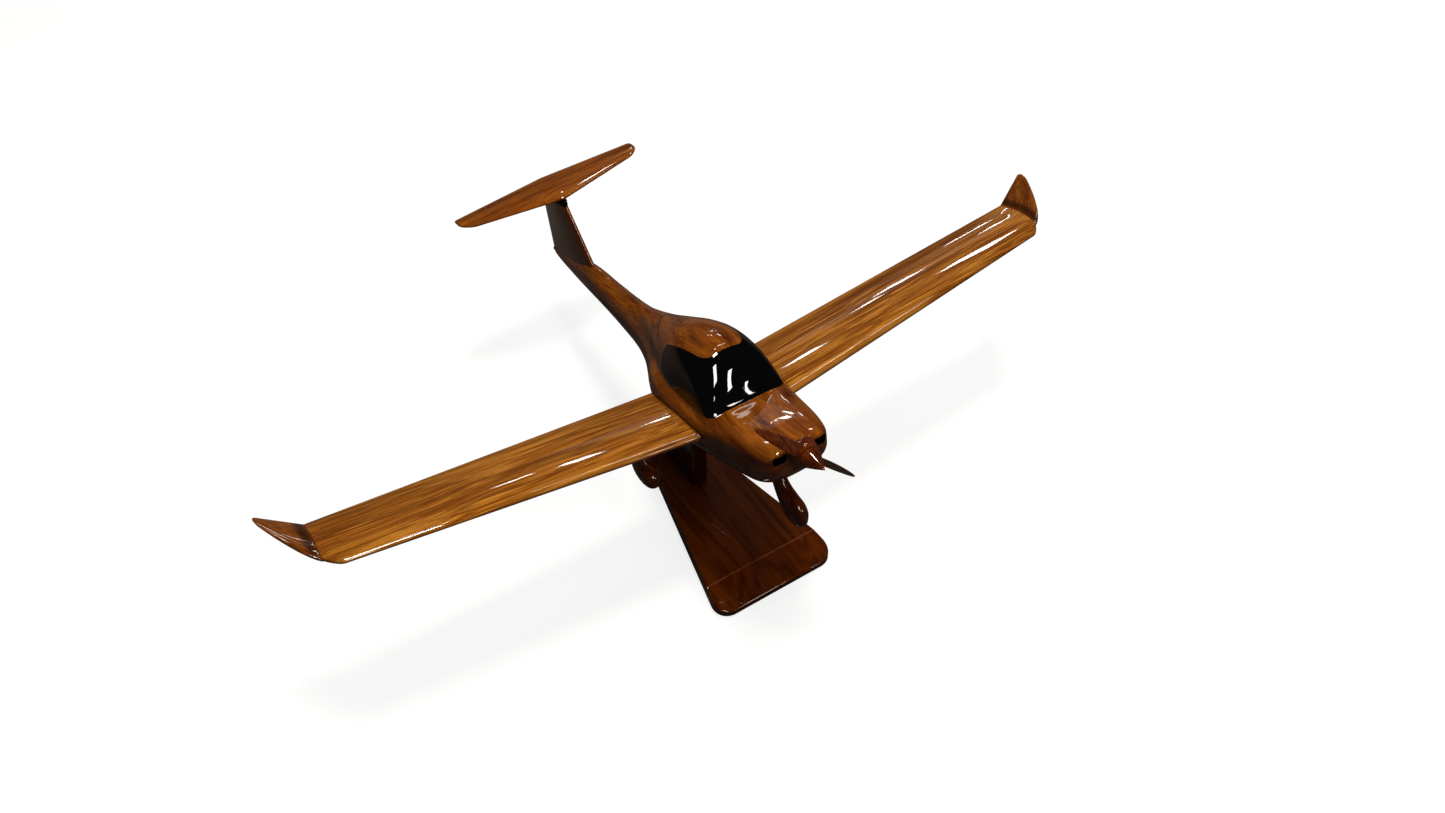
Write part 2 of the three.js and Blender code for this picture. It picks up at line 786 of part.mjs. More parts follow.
function gearPins(grow) {
  const radius = gear.pinRadius + grow;
  const nose = rod(vec(0, -27, -30 - grow), vec(0, -27, -12 + grow), radius, 10);
  const mains = [-1, 1].map((side) => {
    return rod(vec(side * 22, gear.legY, -15.4), vec(side * 34, gear.legY, -24.4), radius, 10);
  });
  return [nose, ...mains];
}

function inletBlock(side, grow) {
  const inner = side * (inlet.inner - grow);
  const outer = side * (inlet.outer + grow);
  const front = grow > 0 ? aheadOfNose : inlet.front;
  return block(Math.min(inner, outer), Math.max(inner, outer), front, inlet.rear + grow,
    inlet.low - grow, inlet.high + grow);
}

function chinBlock(grow) {
  const half = chin.halfWidth + grow;
  const front = grow > 0 ? aheadOfNose : chin.front;
  return block(-half, half, front, chin.rear + grow, chin.low - grow, chin.high + grow);
}

function tube(rear, front, outer, inner) {
  return cut(axialRod(rear, front, outer), axialRod(rear + 1, front - 1, inner));
}

const runningBore = propeller.pinRadius + gap;
const bushPocket = axialRod(propeller.bushRear + gap, aheadOfNose, propeller.bushRadius + gap);
const pegBore = inAircraft(pegRod(stand.pegBottom - stand.pegDrop, stand.pegTop + 1, stand.pegClearance));

const grownHull = loft(hull, gap);
const blocks = fuselageBlocks(
  [
    ...wingDowels(gap),
    ...finDowels(gap),
    ...gearPins(gap),
    pegBore,
    bushPocket,
    inletBlock(-1, gap),
    inletBlock(1, gap),
    chinBlock(gap),
  ],
  [pegBore],
);

function wingWithRoot(side) {
  return cut(wingPanel(side), grownHull, ...wingDowels(gap));
}

const wingDowelNames = ["starboard_front", "starboard_rear", "port_front", "port_rear"].map((place) => {
  return `wing_dowel_${place}`;
});

aircraft.add(
  named("fuselage", blocks.lower, mahogany),
  named("roof_block", blocks.upper, mahogany),
  named("canopy_glazing", glazingRegion(glazingDepth, 0), blackGloss),
  named("wing_port", wingWithRoot(1), wingWood),
  named("wing_starboard", wingWithRoot(-1), wingWood),
  named("winglet_port", wingletPanel(1), mahogany),
  named("winglet_starboard", wingletPanel(-1), mahogany),
  ...copies(wingDowelNames, wingDowels(0), beech),
  named("fin", cut(finPanel(), grownHull, ...finDowels(gap), ...tailPins(gap)), mahogany),
  ...copies(["fin_dowel_front", "fin_dowel_rear"], finDowels(0), beech),
  named("tailplane", cut(tailplanePanel(), ...tailPins(gap)), wingWood),
  named("tailplane_saddle", cut(saddle(), ...tailPins(gap)), blackRecess),
  ...copies(["tailplane_pin_front", "tailplane_pin_rear"], tailPins(0), steel),
  named("inlet_port", inletBlock(1, 0), blackRecess),
  named("inlet_starboard", inletBlock(-1, 0), blackRecess),
  named("chin_intake", chinBlock(0), blackRecess),
  named("nose_bush", tube(propeller.bushRear, propeller.bushFront, propeller.bushRadius, runningBore), brass),
  named("nose_gear", cut(noseGear(), grownHull, ...gearPins(gap)), darkWood),
  ...copies(["nose_gear_pin", "main_leg_pin_starboard", "main_leg_pin_port"], gearPins(0), steel),
);

for (const [side, label] of [[1, "port"], [-1, "starboard"]]) {
  const leg = cut(mainLeg(side), grownHull, spatRoom(side), ...gearPins(gap));
  aircraft.add(
    named(`main_leg_${label}`, leg, darkWood),
    named(`main_spat_${label}`, mainSpat(side), darkWood),
  );
}

const washerRear = propeller.bushFront - gap;
const washerFront = propeller.rear + gap;
const backplate = spinnerSlice(propeller.rear, propeller.hubRear + gap, 2);
const cone = spinnerSlice(propeller.hubFront - gap, propeller.noseTip, 8);

aircraft.add(
  named("thrust_washer", tube(washerRear, washerFront, propeller.washerRadius, runningBore), brass),
  named("spinner_backplate", cut(backplate, pinHole()), darkWood),
  named("propeller_blades", propellerPiece(), darkWood),
  named("spinner_cone", cut(cone, pinHole()), mahogany),
  named("propeller_pin", axialRod(propeller.pinRear, propeller.pinFront, propeller.pinRadius), steel),
);

const model = new THREE.Group();
model.add(
  aircraft,
  named("stand_base", standBase(), darkWood),
  named("base_felt", baseFelt(), felt),
  named("stand_upright", upright(), darkWood),
  ...copies(["stand_screw_front", "stand_screw_rear"], screwPlaces.map((y) => screwShape(y, 0)), steel),
  named("support_peg", pegRod(stand.pegBottom, stand.pegTop, 0), steel),
);

export default model;
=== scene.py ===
"""Looks for a carved, lacquered mahogany desk model of a light aircraft on its stand.

The aircraft's own frame (x to port, y aft, z up, millimetres, origin at the wing root's leading edge)
comes from the propeller joint. The stand is in the row's frame and takes its places from its boxes.
Each smooth piece is built here from the same stations as its CAD node and stands for that node.
"""

import json
import math

import bpy
import numpy as np
from mathutils import Matrix, Vector


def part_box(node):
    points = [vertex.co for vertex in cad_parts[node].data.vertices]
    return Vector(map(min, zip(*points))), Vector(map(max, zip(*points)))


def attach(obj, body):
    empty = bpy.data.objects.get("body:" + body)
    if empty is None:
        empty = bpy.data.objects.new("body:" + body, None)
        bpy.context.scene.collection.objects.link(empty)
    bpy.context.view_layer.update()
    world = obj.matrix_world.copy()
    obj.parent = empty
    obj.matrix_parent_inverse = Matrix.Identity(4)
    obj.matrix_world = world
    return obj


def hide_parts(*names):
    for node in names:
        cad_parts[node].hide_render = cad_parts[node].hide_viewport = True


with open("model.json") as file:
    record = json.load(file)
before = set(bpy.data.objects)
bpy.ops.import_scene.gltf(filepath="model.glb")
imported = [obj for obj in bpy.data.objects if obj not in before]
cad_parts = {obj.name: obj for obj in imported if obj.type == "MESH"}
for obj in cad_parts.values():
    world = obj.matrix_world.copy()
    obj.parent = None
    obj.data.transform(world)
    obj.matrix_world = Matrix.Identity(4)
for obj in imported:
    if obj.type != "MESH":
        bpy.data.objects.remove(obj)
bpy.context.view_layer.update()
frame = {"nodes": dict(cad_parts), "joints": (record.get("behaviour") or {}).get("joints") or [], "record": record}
BODY_OF = {node: body for body, nodes in frame["record"]["behaviour"]["bodies"].items() for node in nodes}
SLOT_OF = {part["node"]: part["material_slot"] for part in frame["record"]["subparts"]}

# ---------------- frames

MM = 0.001
HUB = np.array([0.0, -57.8, 11.2])  # the propeller joint's place in the aircraft's own frame

spin = next(joint for joint in frame["joints"] if joint["name"] == "propeller_spin")
aft = Vector(spin["axis"]).normalized()
port = Vector((1, 0, 0))
AIRCRAFT_AXES = np.array([port, aft, port.cross(aft)])
AIRCRAFT_ORIGIN = np.array(spin["pos_m"]) - HUB @ AIRCRAFT_AXES * MM


def place(points, on_stand=False):
    """Points in millimetres, of the aircraft's own frame or the row's, in metres of the row's frame."""
    return points * MM if on_stand else AIRCRAFT_ORIGIN + points @ AIRCRAFT_AXES * MM


def unplace(points, on_stand=False):
    """The reverse of place."""
    return points / MM if on_stand else (points - AIRCRAFT_ORIGIN) @ AIRCRAFT_AXES.T / MM


def box_mm(node):
    """A node's lowest and highest corners in the row's frame, in millimetres."""
    low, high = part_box(node)
    return np.array(low) / MM, np.array(high) / MM


# ---------------- curves

def profile(*stations):
    """A smooth curve through (position, value) stations."""
    xs = np.array([x for x, _ in stations], float)
    ys = np.array([y for _, y in stations], float)
    order = np.arange(len(xs))
    before = np.maximum(order - 1, 0)
    after = np.minimum(order + 1, len(xs) - 1)
    slope = (ys[after] - ys[before]) / (xs[after] - xs[before])

    def at(x):
        x = np.clip(x, xs[0], xs[-1])
        i = np.clip(np.searchsorted(xs, x, side="right") - 1, 0, len(xs) - 2)
        run = xs[i + 1] - xs[i]
        t = (x - xs[i]) / run
        start = (1 + 2 * t) * (1 - t) ** 2 * ys[i] + t * (1 - t) ** 2 * run * slope[i]
        end = t * t * (3 - 2 * t) * ys[i + 1] + t * t * (t - 1) * run * slope[i + 1]
        return start + end

    return at


def lerp(a, b, t):
    return a + (b - a) * t


def circle(count, start=0.0):
    """Angles round a full turn."""
    return (np.arange(count) + start) * 2 * np.pi / count


def crowded(count, power):
    """Steps from 0 to 1, closer together towards 1."""
    return 1 - (1 - np.linspace(0, 1, count)) ** power


def rotated(u, v, angle):
    return u * math.cos(angle) - v * math.sin(angle), u * math.sin(angle) + v * math.cos(angle)


def unit(vectors):
    return vectors / np.linalg.norm(vectors, axis=-1, keepdims=True)


def bend(start, control, end, steps=14):
    """Points along a quadratic curve, its first point left out."""
    t = np.linspace(0, 1, steps + 1)[1:, None]
    start, control, end = (np.array(p, float) for p in (start, control, end))
    return ((1 - t) ** 2 * start + 2 * t * (1 - t) * control + t * t * end).tolist()


def rounded_end(distance, radius):
    """1 away from an end, falling to 0 at it as a quarter circle does."""
    inside = np.clip(1 - distance / radius, 0, 1)
    return np.sqrt(np.maximum(1 - inside**2, 0))


# ---------------- meshes

def link(name, data):
    """A new object in the scene."""
    made = bpy.data.objects.new(name, data)
    bpy.context.scene.collection.objects.link(made)
    return made


def read(items, field, width, kind=np.float32):
    """One field of every vertex, corner or face, as rows of an array."""
    values = np.empty(len(items) * width, kind)
    items.foreach_get(field, values)
    return values.reshape(-1, width)


def coordinates(mesh):
    return read(mesh.vertices, "co", 3).astype(float)


def face_outwards(mesh):
    """Turns a closed mesh right side out, by the sign of its volume."""
    mesh.calc_loop_triangles()
    corners = read(mesh.loop_triangles, "vertices", 3, np.int32)
    a, b, c = (coordinates(mesh)[corners[:, k]] for k in range(3))
    if (a * np.cross(b, c)).sum() < 0:
        mesh.flip_normals()


def skin(name, rings, end_faces, on_stand):
    """A mesh object whose walls join rings of equal point count; end_faces close its two ends."""
    count, around = rings.shape[:2]
    faces = []
    for r in range(count - 1):
        for k in range(around):
            n = (k + 1) % around
            faces.append((r * around + k, r * around + n, (r + 1) * around + n, (r + 1) * around + k))
    mesh = bpy.data.meshes.new(name)
    mesh.from_pydata(place(rings.reshape(-1, 3), on_stand).tolist(), [], faces + end_faces)
    mesh.update()
    face_outwards(mesh)
    return link(name, mesh)


def loft(name, rings, on_stand=False):
    """A closed skin over rings, each end closed with one flat face."""
    rings = np.asarray(rings, float)
    count, around = rings.shape[:2]
    last = (count - 1) * around
    ends = [tuple(range(around))[::-1], tuple(range(last, last + around))]
    return skin(name, rings, ends, on_stand)


def ladder(name, rings):
    """A skin on the stand, each end closed with strips from one side's points to the other's."""
    rings = np.asarray(rings, float)
    count, around = rings.shape[:2]
    ends = []
    for start, step in ((0, -1), ((count - 1) * around, 1)):
        for k in range(around // 2 - 1):
            strip = (start + k, start + k + 1, start + around - 2 - k, start + around - 1 - k)
            ends.append(strip[::step])
    return skin(name, rings, ends, on_stand=True)


def prism(name, outline, axis, low, high, on_stand=False):
    """A flat outline run along one axis (0, 1 or 2); its points give the two other coordinates in order."""
    outline = np.asarray(outline, float)
    rings = [np.insert(outline, axis, value, axis=1) for value in (low, high)]
    return loft(name, rings, on_stand)


def boolean(piece, tool, operation):
    """Cuts or joins a piece with a tool, which is used up."""
    modifier = piece.modifiers.new("cut", "BOOLEAN")
    modifier.operation = operation
    modifier.solver = "MANIFOLD"
    modifier.object = tool
    bpy.context.view_layer.update()
    graph = bpy.context.evaluated_depsgraph_get()
    result = bpy.data.meshes.new_from_object(piece.evaluated_get(graph))
    piece.modifiers.clear()
    old = piece.data
    piece.data = result
    bpy.data.meshes.remove(old)
    bpy.data.objects.remove(tool)
    return piece


def smooth(piece, sharp_degrees=35):
    """Shades a piece smoothly except over edges sharper than an angle."""
    piece.data.shade_smooth()
    piece.data.set_sharp_from_angle(angle=math.radians(sharp_degrees))
    return piece


PROBE = 0.05  # the step by which a field's gradient is measured, in millimetres
ON_SURFACE = 0.08  # how near its level a field counts as the surface
ALIKE = 0.8  # the least cosine between a face and the field for the field's normal to be used


def shade_by_field(piece, field, level=0.0):
    """Corner normals taken from the gradient of a field wherever the piece lies on its surface."""
    mesh = piece.data
    smooth(piece)
    corners = read(mesh.loops, "vertex_index", 1, np.int32)[:, 0]
    sizes = read(mesh.polygons, "loop_total", 1, np.int32)[:, 0]
    flat = np.repeat(read(mesh.polygons, "normal", 3), sizes, axis=0)
    points = unplace(coordinates(mesh))
    value = field(points)
    gradient = np.stack([field(points + PROBE * axis) - value for axis in np.eye(3)], axis=1)
    gradient /= np.maximum(np.linalg.norm(gradient, axis=1, keepdims=True), 1e-9)
    gradient = gradient @ AIRCRAFT_AXES
    near = np.abs(value - level) < ON_SURFACE
    wanted = gradient[corners]
    use = near[corners] & ((wanted * flat).sum(1) > ALIKE)
    normals = np.where(use[:, None], wanted, flat)
    mesh.normals_split_custom_set(normals.tolist())


# ---------------- fuselage form

NOSE_Y, TAIL_Y = -52.0, 231.0

HULL = {
    "half": profile((-52, 15.6), (-50, 17.4), (-46, 19.8), (-36, 22.6), (-20, 25), (-4, 27.6), (12, 30.2),
                    (28, 31), (44, 29.6), (56, 26.4), (68, 21), (82, 15.4), (100, 11), (125, 8.8),
                    (170, 6.6), (205, 4.4), (231, 1.6)),
    "top": profile((-52, 14), (-46, 14.8), (-30, 14.4), (-4, 12.4), (20, 13), (50, 14), (75, 14),
                   (100, 12.4), (125, 11), (150, 10.6), (170, 11.2), (190, 8), (210, 3.6), (231, -1)),
    "bottom": profile((-52, -2.6), (-48, -7.4), (-42, -13.4), (-34, -17.6), (-20, -21), (10, -23.8),
                      (45, -24), (65, -22), (90, -17.4), (120, -13), (150, -10.6), (185, -9.4),
                      (210, -7), (231, -3.4)),
    "waist": profile((-52, 6.4), (-40, 3), (-20, 0), (10, -3), (45, -3), (80, -1), (120, -0.5), (170, 1),
                     (231, -2.2)),
    "shoulder": profile((-52, 4.6), (-20, 4.4), (0, 4), (40, 3.6), (70, 2.5), (100, 2.1), (231, 2)),
    "keel": profile((-52, 2.6), (-20, 2.2), (60, 2.2), (110, 2), (231, 2)),
}

CABIN = {
    "half": profile((-9, 22.4), (-5, 23.6), (2, 24.4), (15, 24.8), (34, 24.6), (48, 22.4), (62, 18),
                    (80, 12), (98, 8), (116, 6), (134, 4.4)),
    "top": profile((-9, 8.4), (-5.5, 12.4), (0, 21), (5, 28.4), (10, 34), (16, 37.4), (25, 39.2),
                   (35, 38.2), (47, 34.8), (60, 29.6), (80, 21.8), (104, 14.8), (134, 9.2)),
    "bottom": profile((-9, 3), (60, 4), (134, 2)),
    "waist": profile((-9, 6), (0, 10), (60, 9), (100, 6), (134, 3.6)),
    "shoulder": profile((-9, 2.6), (10, 2.2), (40, 2), (134, 2)),
    "keel": profile((-9, 2), (134, 2)),
}
CABIN_FRONT, CABIN_REAR = -9.0, 134.0
FILLET = 2.0  # between cabin and hull
END_ROUND = 2.2  # at the hull's nose and tail
RAY_LENGTH, HALVINGS = 70.0, 34
PEG_ROOM = 0.5  # left round the peg in its bore


def outside(shape, points):
    """How far points lie outside a body's cross-section, along the ray from its centre."""
    x, y, z = points.T
    height = z - shape["waist"](y)
    upper = height > 0
    rise = np.where(upper, shape["top"](y) - shape["waist"](y), shape["waist"](y) - shape["bottom"](y))
    power = np.where(upper, shape["shoulder"](y), shape["keel"](y))
    reach = (np.abs(x) / shape["half"](y)) ** power + (np.abs(height) / rise) ** power
    reach = np.maximum(reach, 1e-12) ** (1 / power)
    distance = np.hypot(x, height)
    return distance - distance / reach


def hull_field(points):
    y = points[:, 1]
    end = np.minimum(y - NOSE_Y, (TAIL_Y - y) * 1.6)
    inset = END_ROUND * (1 - rounded_end(np.maximum(end, 0), END_ROUND))
    return outside(HULL, points) + inset


def body_field(points):
    """Negative inside the whole fuselage: the hull and the cabin, blended with a small fillet."""
    y = points[:, 1]
    fade = np.maximum(CABIN_FRONT - y, 0) + 0.3 * np.maximum(y - CABIN_REAR, 0)
    a = hull_field(points)
    b = outside(CABIN, points) + fade
    share = np.clip(0.5 + 0.5 * (b - a) / FILLET, 0, 1)
    return lerp(b, a, share) - FILLET * share * (1 - share)


def field_skin(name, field, stations, around=176, level=0.0):
    """A closed skin where a field has the given level, found along rays from the hull's middle line."""
    y = np.repeat(np.asarray(stations, float), around)
    angle = np.tile(circle(around, 0.5), len(stations))
    ray = np.stack([np.cos(angle), np.zeros_like(angle), np.sin(angle)], axis=1)
    start = np.stack([np.zeros_like(y), y, HULL["waist"](y)], axis=1)
    near, far = np.zeros(len(y)), np.full(len(y), RAY_LENGTH)
    for _ in range(HALVINGS):
        middle = (near + far) / 2
        is_inside = field(start + ray * middle[:, None]) < level
        near, far = np.where(is_inside, middle, near), np.where(is_inside, far, middle)
    rings = (start + ray * near[:, None]).reshape(len(stations), around, 3)
    return loft(name, rings)


def body_stations():
    """Places along the hull, close together where its ends are rounded."""
    nose = NOSE_Y + END_ROUND * (1 - np.cos(np.linspace(0, np.pi / 2, 8)))
    middle = np.linspace(NOSE_Y + END_ROUND + 0.8, TAIL_Y - 2, 230)
    tail = TAIL_Y - 1.6 * (1 - np.sin(np.linspace(0, np.pi / 2, 6)))
    return np.concatenate([nose, middle, tail])


# ---------------- canopy and roof outlines

SILL = 12.0
GLAZING_PROUD, GLAZING_DEPTH, COWL_ROOM = 0.14, 1.2, 0.35
GLUE_HEIGHT = 22.15


def window_outline():
    """In the side view (y, z): the sill, a rounded rear edge, and everything ahead and above."""
    points = [(-16, SILL - 0.6), (-4, SILL - 0.4), (34, SILL + 0.4)]
    points += bend((34, SILL + 0.4), (44.4, SILL + 2), (47.2, 20.5))
    points += bend((47.2, 20.5), (48.6, 25), (46.6, 31))
    return points + [(46.6, 60), (-16, 60)]


def roof_outline():
    """In the plan view (x, y): a tongue with rounded front corners that widens aft."""
    right = [(7.4, 12.6)]
    right += bend((7.4, 12.6), (12.2, 12.9), (13.6, 19))
    right += bend((13.6, 19), (15.8, 30), (16.6, 60))
    return right + [(-x, y) for x, y in reversed(right)]


def peg_bore():
    low, high = box_mm("support_peg")
    middle, radius = (low + high) / 2, (high[0] - low[0]) / 2 + PEG_ROOM
    angle = circle(48)
    ring = np.stack([middle[0] + radius * np.cos(angle), middle[1] + radius * np.sin(angle)], axis=1)
    return prism("bore", ring, 2, low[2], high[2] + 1, on_stand=True)


def build_fuselage():
    """The whole carved body less its openings, parted at the glue line into lower block and roof block."""
    lower = field_skin("fuselage_lower", body_field, body_stations())
    inlets = [pocket(inlet_outline(side), INLET_REAR) for side in (-1, 1)]
    glazing_bed = glazing_solid(-GLAZING_DEPTH - 0.2, GLAZING_PROUD + 1)
    for opening in (peg_bore(), *inlets, pocket(chin_outline(), CHIN_REAR), glazing_bed):
        boolean(lower, opening, "DIFFERENCE")
    roof = link("roof_block_skin", lower.data.copy())
    around = [(-80, -80), (80, -80), (80, 260), (-80, 260)]
    boolean(roof, prism("half", around, 2, GLUE_HEIGHT, 90), "INTERSECT")
    boolean(lower, prism("half", around, 2, -90, GLUE_HEIGHT), "INTERSECT")
    for piece in (lower, roof):
        shade_by_field(piece, body_field)
    return lower, roof


def glazing_solid(inner, outer):
    """The shell between two levels of the fuselage's field, inside the window and clear of the roof."""
    stations = np.linspace(-14, 54, 150)
    shell = field_skin("canopy_glass", body_field, stations, around=240, level=outer)
    boolean(shell, field_skin("core", body_field, np.linspace(-15, 55, 100), level=inner), "DIFFERENCE")
    boolean(shell, prism("window", window_outline(), 0, -60, 60), "INTERSECT")
    boolean(shell, prism("tongue", roof_outline(), 2, 15, 70), "DIFFERENCE")
    cowl = field_skin("cowl", hull_field, np.linspace(-30, 70, 120), level=COWL_ROOM)
    return boolean(shell, cowl, "DIFFERENCE")


def build_glazing():
    glass = glazing_solid(-GLAZING_DEPTH, GLAZING_PROUD)
    shade_by_field(glass, body_field, GLAZING_PROUD)
    return glass


# ---------------- inlets

INLET_LOW, INLET_HIGH, INLET_IN, INLET_OUT, INLET_REAR = 7.2, 12.0, 8.2, 16.0, -44.0
CHIN_REAR = -37.0
AHEAD = -60.0  # a place ahead of the nose, where every pocket's tool starts


def rounded_rectangle(low, high, radius, steps):
    """An outline between two opposite corners."""
    (low_x, low_y), (high_x, high_y) = np.add(low, radius), np.subtract(high, radius)
    points = []
    for x, y, start in ((high_x, high_y, 0), (low_x, high_y, 90), (low_x, low_y, 180), (high_x, low_y, 270)):
        for turn in np.radians(start + np.linspace(0, 90, steps)):
            points.append((x + radius * math.cos(turn), y + radius * math.sin(turn)))
    return points


def inlet_outline(side, grow=0.0):
    """An inlet in the front view (x, z)."""
    near, far = sorted((side * (INLET_IN - grow), side * (INLET_OUT + grow)))
    return rounded_rectangle((near, INLET_LOW - grow), (far, INLET_HIGH + grow), 1.6, 6)


def chin_outline(half_width=6.4, low=-13.4, high=-9.4):
    return rounded_rectangle((-half_width, low), (half_width, high), 1.2, 6)


def pocket(outline, rear):
    return prism("pocket", outline, 1, AHEAD, rear)


def liner(name, outline, hollow, rear):
    """A thin dark cup set in a pocket: walls that end just inside the cowl's skin, and a back."""
    cup = prism(name, outline, 1, AHEAD, rear - 0.02)
    boolean(cup, prism("hollow", hollow, 1, AHEAD, rear - 1), "DIFFERENCE")
    inside = field_skin("inside", body_field, body_stations()[:60], level=-0.25)
    return smooth(boolean(cup, inside, "INTERSECT"))


def inlet_liner(side, name):
    return liner(name, inlet_outline(side, -0.02), inlet_outline(side, -0.5), INLET_REAR)


def chin_liner():
    return liner("chin_liner", chin_outline(6.38, -13.38, -9.42), chin_outline(5.9, -15, -9.9), CHIN_REAR)


# ---------------- wings and tail

# A station of a wing or winglet is (leading edge, trailing edge, z, thickness).
WING = {"root_x": 20, "tip_x": 220, "root": (-2.4, 49, -1.2, 8.4), "tip": (10.6, 48, 18, 5.4)}
RAKE_X, RAKE_DEPTH, RAKE_POWER = 212, 6.6, 1.6  # where and how the tip's leading edge curves aft
APEX_X, APEX = 240.3, (48.6, 54.4, 30.3, 1.2)
WINGLET_SWEEP = 1.5  # the power by which its leading edge curves aft
GROOVE = 0.4  # half-width of the crease where a winglet joins its wing
FOIL_NOSE, FOIL_BLUNTNESS, FOIL_MIDDLE, FOIL_TAIL = 1.19, 0.6, 0.11, 0.09
FOIL_BELLY = 0.72  # a section's lower bulge as a share of its upper one
FIN_BULGE = 0.86


def foil(lead, trail, thickness, around=96):
    """A rounded-nose section: distances aft and heights, round its edge."""
    angle = circle(around, 0.5)
    along = (1 - np.cos(angle)) / 2
    nose = np.sqrt(along) * (FOIL_NOSE * (1 - along) + FOIL_BLUNTNESS * (1 - along) ** 24)
    middle = FOIL_MIDDLE * np.sin(np.pi * along)
    tail = FOIL_TAIL * along * np.sqrt(1 - along**26)
    side = np.where(np.sin(angle) > 0, 1, -FOIL_BELLY)
    return lerp(lead, trail, along), side * thickness * (nose + middle + tail)


def foil_ring(x, lead, trail, z, thickness):
    """A section that stands across the span at x."""
    aft_by, up_by = foil(lead, trail, thickness)
    return np.stack([np.full_like(aft_by, x), aft_by, z + up_by], axis=1)


def wing_at(x):
    t = (x - WING["root_x"]) / (WING["tip_x"] - WING["root_x"])
    lead, trail, z, thickness = (lerp(a, b, t) for a, b in zip(WING["root"], WING["tip"]))
    rake = RAKE_DEPTH * (max(0, x - RAKE_X) / (WING["tip_x"] - RAKE_X)) ** RAKE_POWER
    return lead + rake, trail, z, thickness


def crease_ring(side):
    """The slightly smaller section in which a wing ends and its winglet starts."""
    lead, trail, z, thickness = wing_at(WING["tip_x"])
    inset = 0.25 * GROOVE
    return foil_ring(side * WING["tip_x"], lead + inset, trail - inset, z, thickness - 1.4 * GROOVE)


def trim_to_hull(piece, low, high, steps, gap=0.1, sharp_degrees=45):
    """Cuts away what lies in the hull, sampled between two places along it, and shades the rest."""
    hull = field_skin("hull", hull_field, np.linspace(low, high, steps), level=gap)
    return smooth(boolean(piece, hull, "DIFFERENCE"), sharp_degrees)


def build_wing(name, side):
    inner = np.linspace(WING["root_x"], RAKE_X, 70)
    outer = np.linspace(RAKE_X, WING["tip_x"] - GROOVE, 14)[1:]
    rings = [foil_ring(side * x, *wing_at(x)) for x in (*inner, *outer)]
    wing = loft(name, rings + [crease_ring(side)])
    return trim_to_hull(wing, -20, 80, 140, gap=0.2, sharp_degrees=35)


def build_winglet(name, side):
    """The upturned tip: it sweeps aft and narrows to a small rounded apex."""
    lead, trail, z, thickness = wing_at(WING["tip_x"])
    apex_lead, apex_trail, apex_z, apex_thickness = APEX
    rings = [crease_ring(side)]
    for t in crowded(44, 1.5):
        close = max(rounded_end((1 - t) * (APEX_X - WING["tip_x"]), 1.6), 0.25)
        front, rear = lerp(lead, apex_lead, t**WINGLET_SWEEP), lerp(trail, apex_trail, t)
        middle, half = (front + rear) / 2, (rear - front) / 2 * close
        thick = lerp(thickness, apex_thickness, t**0.8) * close
        x = lerp(WING["tip_x"] + GROOVE, APEX_X, t)
        rings.append(foil_ring(side * x, middle - half, middle + half, lerp(z, apex_z, t), thick))
    return smooth(loft(name, rings))


# Pairs are at the root and at the tip.
TAIL = {"z": 49, "half": 62.8, "lead": (194, 209.5), "trail": (229.5, 224.5), "thick": (4.8, 2.4),
        "corner": 53, "tilt": math.radians(3.6)}


def build_tailplane():
    """One panel, thickest in the middle, with rounded tips, and a little out of level."""
    half = TAIL["half"]
    rings = []
    for x in half * np.sin(np.linspace(-np.pi / 2, np.pi / 2, 121)):
        t = abs(x) / half
        past = max(0, abs(x) - TAIL["corner"]) / (half - TAIL["corner"])
        close = rounded_end(half - abs(x), 2.4)
        lead = lerp(*TAIL["lead"], t) + 6 * past**2 + 1.6 * (1 - close)
        trail = lerp(*TAIL["trail"], t) - 1.6 * (1 - close)
        rings.append(foil_ring(x, lead, trail, 0, lerp(*TAIL["thick"], t) * max(close, 0.2)))
    x, y, z = np.moveaxis(np.array(rings), 2, 0)
    x, z = rotated(x, z, TAIL["tilt"])
    return smooth(loft("tailplane_carved", np.stack([x, y, z + TAIL["z"]], axis=2)))


FIN = {"foot": -6, "top": 43.2, "lead": 161.2, "lead_slope": 0.76, "trail": 232.0, "trail_slope": -0.03,
       "thick": (7, 5.5)}


def fin_ring(z, grow=0.0):
    """The fin's level section at a height, both its sides bulging alike."""
    t = (z - FIN["foot"]) / (FIN["top"] - FIN["foot"])
    lead = FIN["lead"] + FIN["lead_slope"] * z - grow
    trail = FIN["trail"] + FIN["trail_slope"] * z + grow
    aft_by, side_by = foil(lead, trail, lerp(*FIN["thick"], t) + grow)
    side_by *= np.where(side_by < 0, FIN_BULGE / FOIL_BELLY, FIN_BULGE)
    return np.stack([side_by, aft_by, np.full_like(aft_by, z)], axis=1)


def build_fin():
    fin = loft("fin_carved", [fin_ring(z) for z in np.linspace(FIN["foot"], FIN["top"], 50)])
    return trim_to_hull(fin, 140, TAIL_Y, 120, sharp_degrees=35)


SADDLE_REAR = 227


def build_saddle():
    """The packing piece between fin and tailplane, swollen like squeezed filler."""
    rings = []
    for z, swell in ((43.2, -0.2), (43.5, 0.25), (44.2, 0.5), (45.6, 0.4), (46.6, 0.6), (47.0, 0.2)):
        ring = fin_ring(FIN["top"], swell)
        ring[:, 2] = z
        ring[:, 1] = np.minimum(ring[:, 1], SADDLE_REAR)
        rings.append(ring)
    return smooth(loft("tail_saddle", rings), 50)


# ---------------- propeller

PROP = {"z": 11.2, "rear": -53.6, "plate_front": -55.2, "hub": (-55.4, -60.2), "cone_rear": -60.4,
        "tip": -73.15, "radius": 7.8, "blade_y": -57.8, "reach": 41.0}
BLADE_TURN, BLADE_PITCH = math.radians(-48), math.radians(-62)


def spinner_radius(y):
    t = (PROP["rear"] - y) / (PROP["rear"] - PROP["tip"])
    return PROP["radius"] * np.maximum(1 - t**1.5, 0) ** 1.1


